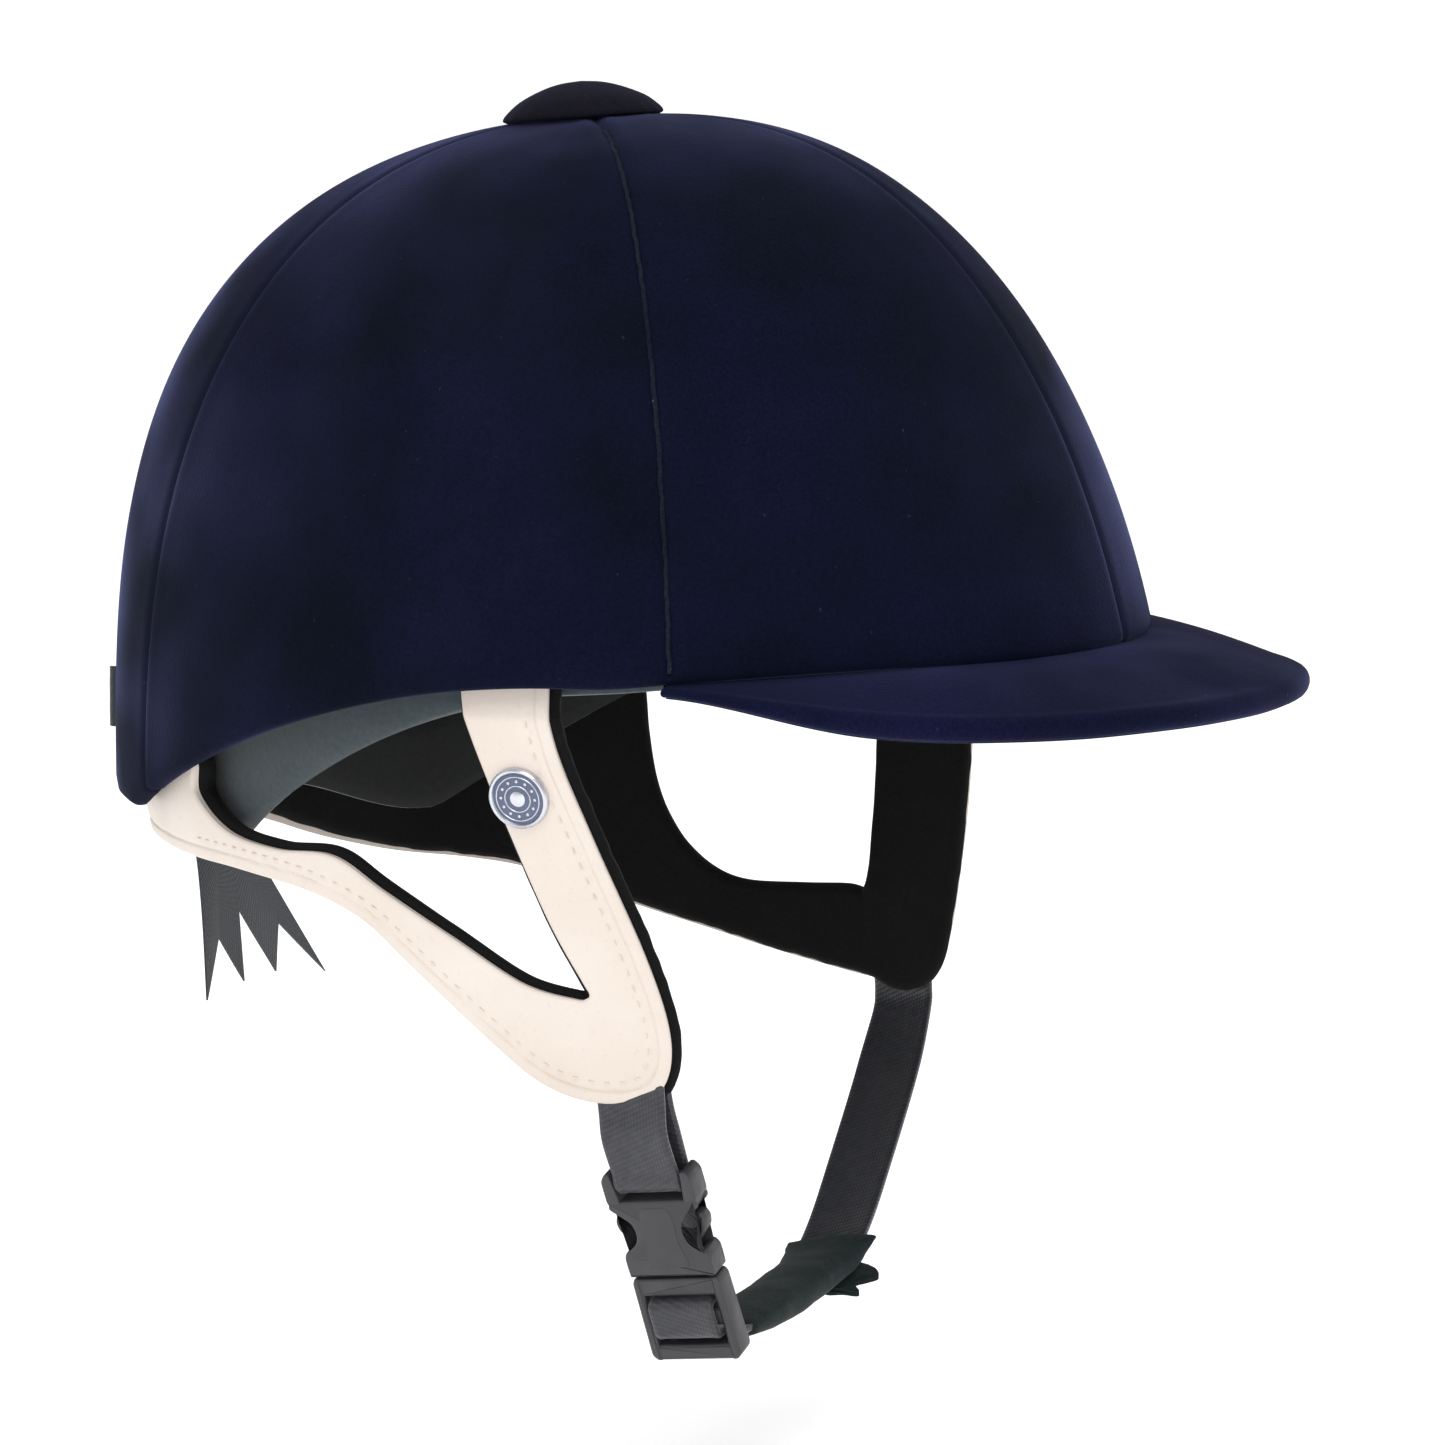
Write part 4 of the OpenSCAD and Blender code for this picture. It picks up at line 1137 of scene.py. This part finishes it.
LEFT_PATH = [(53, -17.5), (35, -33.6), (20, -46), (8, -52.2), (-8, -54.8), (-26, -55.8), (-45.5, -56.3)]


def make_webbing():
    hinge_blend = [SWING * MM + np.array([0, 0, 0.001]), SWING * MM - np.array([0, 0, 0.008])]
    # right: two layers from the pocket in the harness, joined round the buckle's bar
    bar, r = along(2.2), 2.5
    arc = [bar + r * np.array([math.cos(a), math.sin(a)]) for a in np.radians(np.arange(190, 351, 20))]
    front_leg = smooth_curve([(-69.2, 10), (-68.9, 3), (-69.2, -2), (-69.6, -8), bar + [-r, r / 2]], 8)
    back_leg = smooth_curve([bar + [r, r / 2], (-64.6, -8), (-66.2, -3), (-66.9, 3), (-67.6, 10)], 8)
    path = resample(np.concatenate([front_leg, arc, back_leg]), 90)
    fan = np.concatenate([0.13 * (1 - ease(0, 22, np.arange(45))), -0.2 * ease(0, 30, np.arange(45))])
    right = flat_strip("webbing_right_doubled", strap_frames(path, fan), WEB_W, WEB_T)
    dress_web(right, "helmet", "chin_strap", hinge_blend, "webbing_right", "web_root_right")
    top = [(69.3, 10), (68.2, 4), (67.5, 0), (65.2, -4.5)]
    path = resample(smooth_curve(top + LEFT_PATH, 8), 140)
    twist = 0.05 * np.sin(np.linspace(0, 5, 140)) - 0.165 * (1 - ease(8, 30, np.arange(140)))
    left = flat_strip("webbing_left_strap", strap_frames(path, twist), WEB_W, WEB_T)
    dress_web(left, "helmet", "chin_strap", hinge_blend, "webbing_left", "web_root_left")
    # through the male half: lower slot, over the bar, back through the upper slot
    face, bend = BUCKLE_T / 2 + 0.6, 1.6

    def turn(d, side, a0, a1):
        angles = np.radians(np.linspace(a0, a1, 6))
        return [along(d + bend * math.sin(a), side + bend * math.cos(a)) for a in angles]
    path = [np.array([-44.0, -56.2]), np.array([-47.2, -56.5]), along(42.4, face + 0.7), along(40.5, 2.2)]
    path += turn(38.1, bend - face, 90, 180) + turn(33.1, bend - face, 180, 270)
    path += turn(29.9, face - bend, 90, 0)
    path += [along(26.6, face)]
    stub = flat_strip("webbing_through_buckle", strap_frames(resample(path, 80)), WEB_W - 0.4, WEB_T)
    ends = strap_points(np.array([[-45.0, -56.2], [-49.5, -56.2]])) * MM
    dress_web(stub, "chin_strap", "buckle_male", ends, "webbing_buckle")


def dress_web(obj, body, other, ends, *nodes):
    """Webbing that bends from one body to the other between two points."""
    cover(obj, "webbing")
    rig.blend(obj, body, other, start=tuple(ends[0]), end=tuple(ends[1]))
    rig.slot(obj, "webbing")
    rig.replaces(obj, *nodes)


# ---- chin guard -----------------------------------------------------------------------------
def make_guard():
    line = smooth_curve([(15.5, -48.6), (8, -52.2), (-8, -54.8), (-26, -55.8), (-43.2, -56.2)], 12)
    path = resample(line, 56)
    count = 40
    rings = []
    a = circle(count)
    for i, (centre, across, out) in enumerate(strap_frames(path)):
        s = i / (len(path) - 1)
        half = 11.4 - 1.6 * ease(0.0, 0.25, s) - 0.9 * math.sin(math.pi * s) - 0.6 * ease(0.85, 1, s)
        thick = 1.9 + 1.75 * math.sin(math.pi * min(1, s * 1.02)) ** 0.6
        x, y = half * signed_power(np.cos(a), 0.75), thick * signed_power(np.sin(a), 0.75)
        slant = 1.6 * (1 - ease(0, 0.15, s)) * x / half
        step = path[min(i + 1, len(path) - 1)] - path[max(i - 1, 0)]
        run = unit(strap_points(step) - strap_points(np.zeros(2)))
        rings.append(centre + x[:, None] * across + y[:, None] * out - slant[:, None] * run)
    rings = np.array(rings)
    normal = unit(rings - rings.mean(1, keepdims=True))
    rings = rings + normal * (0.55 * wobble(rings, 8, 5) + 0.3 * wobble(rings, 3.2, 8))[..., None]
    sleeve = new_mesh("chin_guard_sleeve", rings.reshape(-1, 3), capped(len(rings), count), 80)
    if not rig.quick():
        inflate(sleeve, 1.5, 0.5, 10)
    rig.padded(dress(sleeve, "guard", "chin_strap", "guard_suede", "chin_guard"), fill=0.4)
    # the pointed end of the sleeve's overlap
    outline = smooth_curve([(9.5, -1.5), (12.6, 1.0), (14.0, 3.6), (11.5, 5.0), (9.0, 6.2), (11.6, 9.8),
                            (7.0, 9.2), (3.0, 9.0), (0.0, 7.0)], 4)
    tip, root = (strap_points(np.stack([12.0 - outline[:, 1] * 0.9, height - outline[:, 1] * 0.38], -1),
                              outline[:, 0] * reach) for height, reach in ((-54.6, 1.0), (-53.0, 0.2)))
    shares = np.linspace(0, 1, 8)[:, None, None]
    upper = root[None] + (tip - root)[None] * shares
    upper = upper + np.array([0, 0, 1]) * (0.35 * wobble(upper, 4, 3))[..., None]
    flap = two_sided("chin_guard_flap", upper, upper - np.array([0, 0, 1.1]))
    dress(flap, "guard", "chin_strap", "guard_suede")


# ---- buckle ---------------------------------------------------------------------------------
def rounded_outline(points, radius, steps=4):
    """A closed outline whose corners are rounded."""
    p = np.asarray(points, float)
    out = []
    for i in range(len(p)):
        a, b, c = p[i - 1], p[i], p[(i + 1) % len(p)]
        r = min(radius, 0.45 * np.linalg.norm(a - b), 0.45 * np.linalg.norm(c - b))
        start, end = b + r * unit(a - b), b + r * unit(c - b)
        for t in np.linspace(0, 1, steps + 1):
            out.append((1 - t) ** 2 * start + 2 * t * (1 - t) * b + t * t * end)
    return np.array(out)


def block(outline, y0, y1, bevel=0.45):
    """A plate in the buckle's frame between two depths, with rounded edges, as (verts, faces)."""
    p = np.asarray(outline, float)
    area = 0.5 * np.sum(p[:, 0] * np.roll(p[:, 1], -1) - np.roll(p[:, 0], -1) * p[:, 1])
    step = np.roll(p, -1, 0) - np.roll(p, 1, 0)
    step /= np.maximum(np.linalg.norm(step, axis=1), 1e-9)[:, None]
    inward = np.stack([-step[:, 1], step[:, 0]], 1) * np.sign(area)
    levels = [(y0, bevel), (y0 + 0.3 * bevel, 0.3 * bevel), (y0 + bevel, 0), (y1 - bevel, 0),
              (y1 - 0.3 * bevel, 0.3 * bevel), (y1, bevel)]
    verts = []
    for y, inset in levels:
        q = p + inward * inset
        verts += [(x, y, z) for x, z in q]
    return buckle_points(np.array(verts)), capped(len(levels), len(p))


def rectangle(x0, x1, z0, z1, r=0.6):
    return rounded_outline([(x0, z0), (x1, z0), (x1, z1), (x0, z1)], r)


def assemble(name, blocks):
    """Several blocks as one piece."""
    pieces = []
    for k, (verts, faces) in enumerate(blocks):
        pieces.append(new_mesh(f"{name}_{k}", verts, faces, 50))
    return join(name, pieces)


def mirrored(points):
    return list(points) + [(-x, z) for x, z in reversed(points)]


def sided(points, side):
    """An outline on the front (1) or rear (-1) side of the buckle."""
    return [(side * x, z) for x, z in points]


def make_female():
    hw, ht = BUCKLE_W / 2, BUCKLE_T / 2
    # the right side of the face, from its top edge down, with the round window cut in
    waist = [(hw - 0.5, -6.4), (hw - 0.2, -8.2), (hw - 2.3, -9.9), (hw - 4.4, -11.8), (hw - 5.0, -14.2),
             (hw - 4.3, -16.6), (hw - 2.2, -18.4), (hw - 0.9, -19.3), (hw - 0.5, -21), (hw - 0.6, -24.8)]
    wing = [(8.75, 0.3), (hw - 1.2, 0.3), (hw, -1.2), (hw, -6.6), (hw - 1.7, -9.6), (7.4, -9.6)]
    foot = [(8.3, -18.6), (hw - 1.4, -18.6), (hw - 0.5, -20.2), (hw - 0.6, -24.95), (8.3, -24.95)]
    blocks = []
    for s in (-1, 1):
        blocks.append(block(rounded_outline(sided(wing, s), 0.8), -ht, ht))
        blocks.append(block(rounded_outline(sided(foot, s), 0.5), -ht, ht))
    front = rounded_outline(mirrored(smooth_curve(waist, 3)), 0.25, 2)
    blocks.append(block(front, -ht - 0.05, -1.95, 0.5))
    blocks.append(block(front, 1.95, ht + 0.05, 0.5))
    # raised middle of the face, as on a moulded buckle
    rib = rounded_outline(mirrored([(3.4, -8.0), (4.2, -12), (3.8, -16), (5.4, -22.6)]), 1.5)
    blocks.append(block(rib, -ht - 0.22, -ht + 0.2, 0.18))
    blocks.append(block(rectangle(-8.9, 8.9, -6.6, -8.6, 0.3), -ht + 0.2, ht - 0.2, 0.3))
    bar = np.array([[x, 0, -2.2] for x in np.linspace(-9.2, 9.2, 8)])
    female = assemble("buckle_female_body", blocks)
    rod = tube("rod", buckle_points(bar), 1.45, 16)
    body = join("buckle_female_body", [female, rod])
    dress(body, "plastic", "chin_strap", "buckle_plastic", "buckle_female")


def make_male():
    hw, t = BUCKLE_W / 2, BUCKLE_T / 2 - 0.3
    rail = [(8.6, -25.5), (hw - 1.0, -25.5), (hw - 0.3, -26.6), (hw, -44.6), (hw - 1.2, -45.9), (8.6, -45.9)]
    blocks = [block(rounded_outline(sided(rail, s), 0.6), -t, t, 0.6) for s in (-1, 1)]
    blocks.append(block(rectangle(-9.4, 9.4, -25.65, -29.9, 0.5), -t + 0.12, t - 0.12, 0.5))
    blocks.append(block(rectangle(-9.4, 9.4, -33.5, -37.7, 0.5), -t + 0.6, t - 0.2, 0.7))
    blocks.append(block(rectangle(-9.4, 9.4, -42.1, -45.9, 0.5), -t + 0.2, t, 0.7))
    tongue = mirrored([(1.7, -26), (1.7, -13.4), (0.9, -11.7)])
    blocks.append(block(rounded_outline(tongue, 0.5), -1.3, 1.3, 0.3))
    dress(assemble("buckle_male_body", blocks), "plastic", "buckle_male", "buckle_plastic", "buckle_male")


def make_prongs():
    arm = [(3.7, -24.3), (4.5, -24.85), (5.4, -24.85), (6.1, -24.3), (6.7, -21), (7.2, -18.6), (8.5, -16.6),
           (10.4, -14.4), (10.95, -12.4), (10.5, -10.7), (9.3, -10.25), (7.8, -10.5), (7.2, -12.4),
           (5.9, -15.4), (4.4, -19.4)]
    # a raised edge on the outside of the arm, where the finger presses
    pad = [(8.6, -16.2), (10.6, -14.2), (11.0, -12.3), (10.6, -11.0), (9.4, -11.6), (8.3, -14.6)]
    for s, label in ((1, "front"), (-1, "rear")):
        outline = smooth_curve(sided(arm + arm[:1], s), 3)[:-1]
        grip = block(rounded_outline(sided(pad, s), 0.6), -1.87, 1.87, 0.5)
        prong = assemble("buckle_prong_" + label, [block(outline, -1.75, 1.75, 0.6), grip])
        dress(prong, "plastic", "prong_" + label, "buckle_plastic", "prong_" + label)


# ---- ribbon ---------------------------------------------------------------------------------
def back_x(y, z):
    """The crown's rear surface."""
    y, z = np.asarray(y, float), np.asarray(z, float)
    a, b, _ = semi_axes(np.full(y.shape, -100.0), z, 0.0)
    return MIDDLE_X - a * (1 - (np.abs(y) / b) ** SECTION_N) ** (1 / SECTION_N)


def ribbon_sheet(name, grid, held="folded", body="helmet", nodes=()):
    """A thin ribbon from a grid (along, across); UVs are in millimetres."""
    normal = unit(np.cross(np.gradient(grid, axis=0), np.gradient(grid, axis=1)))
    obj = two_sided(name, grid + normal * 0.25, grid - normal * 0.25)
    m, n = grid.shape[:2]
    lengths, widths = lengths_along(grid[:, n // 2]), lengths_along(grid[m // 2])
    map_uv(obj, grid, lambda k: (lengths[k // n], widths[k % n]))
    a, b, c, d = grid[:-1, :-1], grid[1:, :-1], grid[1:, 1:], grid[:-1, 1:]
    area = 0.5 * (np.linalg.norm(np.cross(b - a, c - a), axis=-1)
                  + np.linalg.norm(np.cross(c - a, d - a), axis=-1)).sum()
    dress(obj, "ribbon", body, "ribbon", *nodes)
    box = (max(widths[-1], area / lengths[-1]) * MM, lengths[-1] * MM)
    area = float(min(area * MM * MM, box[0] * box[1]))
    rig.sheet(obj, flat=box, held=held, rests_on=["velvet_panel_rear"], area=area)


def make_bow():
    """Two loops of a flat bow behind the crown."""
    for s, label in ((-1, "right"), (1, "left")):
        fold = 27.3 + 0.25 * np.sin(np.linspace(0.4, 2.7, 3))
        ys = np.concatenate([np.linspace(4, 26.5, 16), fold, np.linspace(26.5, 4, 16)])
        away = np.concatenate([0.45 + 0.25 * np.sin(np.linspace(0, math.pi, 16)), [0.9, 1.5, 2.1],
                               2.2 + 1.5 * np.sin(np.linspace(0.3, math.pi - 0.2, 16))])
        tall = np.concatenate([np.linspace(3.4, 7.0, 16), [7.0, 7.0, 7.0], np.linspace(7.0, 3.4, 16)])
        across = np.linspace(-1, 1, 9)
        rows = []
        for y, gap, half in zip(ys, away, tall):
            z = BOW_Z + across * half
            ruffle = 0.35 * np.cos(across * 4 + y * 0.3) * (1 - (y - 4) / 26)
            x = back_x(np.full(9, y), z) - gap - 0.35 - np.abs(ruffle)
            rows.append(np.stack([x, np.full(9, s * y), z], -1))
        nodes = ("bow_loops",) if s < 0 else ()
        ribbon_sheet("bow_loop_" + label, np.array(rows), nodes=nodes)


def make_knot():
    """The short wrap of ribbon round the bow's middle."""
    x0 = float(back_x(0.0, BOW_Z))
    a = circle(28)
    rings = []
    for y in np.linspace(-5.4, 5.4, 13):
        swell = 1 + 0.1 * math.cos(y / 5.4 * math.pi) - 0.12 * abs(y / 5.4) ** 3
        fold = 0.18 * math.sin(y * 2.1)
        xs = (2.9 * swell + fold) * signed_power(np.cos(a), 0.8)
        zs = 5.0 * swell * signed_power(np.sin(a), 0.8)
        rings.append(np.stack([x0 - 3.7 + xs, np.full(28, y), BOW_Z + zs], -1))
    knot = new_mesh("bow_knot_wrap", np.array(rings).reshape(-1, 3), capped(13, 28))
    layer = knot.data.uv_layers.new(name="UVMap")
    for loop in knot.data.loops:
        co = knot.data.vertices[loop.vertex_index].co / MM
        layer.data[loop.index].uv = (math.degrees(math.atan2(co[2] - BOW_Z, co[0] - x0 + 3.7)) / 12, co[1])
    dress(knot, "ribbon", "helmet", "ribbon", "bow_knot")


def make_tails():
    """The swallow-tailed ends, which hang from the bow and turn out below the rim."""
    axis = np.array([-130.2, 0, -17.6])
    side = smooth_curve([(0, -1.8), (0.4, -9), (2.2, -16), (6.6, -23), (8.8, -32), (9.5, -50), (9.5, -80)],
                        10)
    tails = {"right": ([(-1, 0), (1, -14), (5.3, -38.8), (7.9, -72.6)],
                       [(5, 0), (14, -14), (21, -38), (25.4, -71)], 0.0),
             "left": ([(-2, 0), (6, -26), (22, -50), (41.3, -71.4)],
                      [(4, 0), (12, -16), (39.8, -47.9), (64.7, -75.5)], 1.2)}
    for k, (label, (edge0, edge1, layer_gap)) in enumerate(tails.items()):
        a, b = resample(smooth_curve(edge0, 8), 46), resample(smooth_curve(edge1, 8), 46)
        share = np.linspace(0, 1, 13)
        # the end is cut to a deep notch: the lower half's middle slides back towards the top
        notch = (a[0] + b[0] - a[-1] - b[-1]) / 2 * NOTCH
        rows = []
        for i in range(46):
            s = i / 45
            pull = (1 - np.abs(share - 0.5) * 2) * max(0, s - 0.5) / 0.5
            p = a[i] + share[:, None] * (b[i] - a[i]) + pull[:, None] * notch
            x = np.interp(-p[:, 1], -side[:, 1], side[:, 0])
            wave = 0.9 * np.sin(share * 3.1 + s * 2.0 + k) * ease(0.15, 0.9, s)
            x = axis[0] + x - layer_gap + wave * 0.35
            rows.append(np.stack([x, p[:, 0], axis[2] + np.minimum(p[:, 1], -1.2)], -1))
        nodes = ("ribbon_tails",) if label == "right" else ()
        ribbon_sheet("ribbon_tail_" + label, np.array(rows), held="hung", body="ribbon", nodes=nodes)


# ---- carried-over CAD nodes -----------------------------------------------------------------
def paint_nodes():
    for name, mat in (("outer_shell", "shell"), ("peak_core", "shell"), ("button_stud", "steel"),
                      ("button_nut", "steel"), ("harness_rivets", "steel")):
        cover(frame["nodes"][name], mat)


# ---- floor, light and camera ----------------------------------------------------------------
def make_stage():
    """A wide flat floor, which fills the picture up to the horizon."""
    floor_z, reach, sides = -178.0, 45000.0, 64
    verts = [(reach * math.cos(a), reach * math.sin(a), floor_z) for a in circle(sides)]
    floor = new_mesh("floor", verts, [tuple(range(sides))])
    paper = material("pale_floor", (0.92, 0.92, 0.92), 0.9, Emission_Strength=0.46)
    paper.node_tree.nodes["Principled BSDF"].inputs["Emission Color"].default_value = (1, 1, 1, 1)
    floor.data.materials.append(paper)
    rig.stage(floor)


def area_light(name, place_mm, target_mm, size, power):
    data = bpy.data.lights.new(name, "AREA")
    data.shape, data.size, data.energy = "DISK", size, power
    obj = bpy.data.objects.new(name, data)
    bpy.context.scene.collection.objects.link(obj)
    obj.location = Vector(place_mm) * MM
    obj.rotation_euler = (Vector(target_mm) - Vector(place_mm)).to_track_quat("-Z", "Y").to_euler()


def make_lights():
    centre = (10, 0, 0)
    area_light("key", (500, -1100, 1300), centre, 1.1, 10)
    area_light("fill", (-1300, -700, 500), centre, 1.3, 3)
    area_light("low", (700, -1100, -60), (45, 30, -110), 0.5, 2.2)
    area_light("top", (-100, 300, 1500), centre, 1.2, 6)
    area_light("rim", (900, 1000, 600), centre, 1.0, 3)
    world = bpy.data.worlds.new("studio")
    bpy.context.scene.world = world
    world.use_nodes = True
    background = world.node_tree.nodes["Background"]
    background.inputs["Color"].default_value = (1, 1, 1, 1)
    background.inputs["Strength"].default_value = 0.62


def make_camera():
    data = bpy.data.cameras.new("camera")
    camera = bpy.data.objects.new("camera", data)
    bpy.context.scene.collection.objects.link(camera)
    level = math.cos(CAMERA_RISE)
    away = Vector((math.sin(CAMERA_TURN) * level, -math.cos(CAMERA_TURN) * level, math.sin(CAMERA_RISE)))
    camera.location = (Vector((23, 0, -12)) + CAMERA_REACH * away) * MM
    camera.rotation_euler = (-away).to_track_quat("-Z", "Y").to_euler()
    data.sensor_width = 36
    data.lens = data.sensor_width * CAMERA_REACH / 324.7      # the picture is 324.7 mm wide at the helmet
    data.clip_end = 100
    bpy.context.scene.camera = camera
    bpy.context.scene.view_settings.view_transform = "Standard"


make_camera()
make_lights()
make_stage()
make_crown()
make_rim()
make_foam()
make_headband()
make_crown_pad()
make_peak()
make_button()
make_harness(-1, "right")
make_harness(1, "left")
make_badge()
make_webbing()
make_guard()
make_female()
make_male()
make_prongs()
make_bow()
make_knot()
make_tails()
paint_nodes()

with open("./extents.json", "w") as size_file:
    json.dump({"cad": [list(map(float, p)) for p in cad_box],
               "visual": [list(map(float, p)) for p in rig.bounds()]}, size_file)
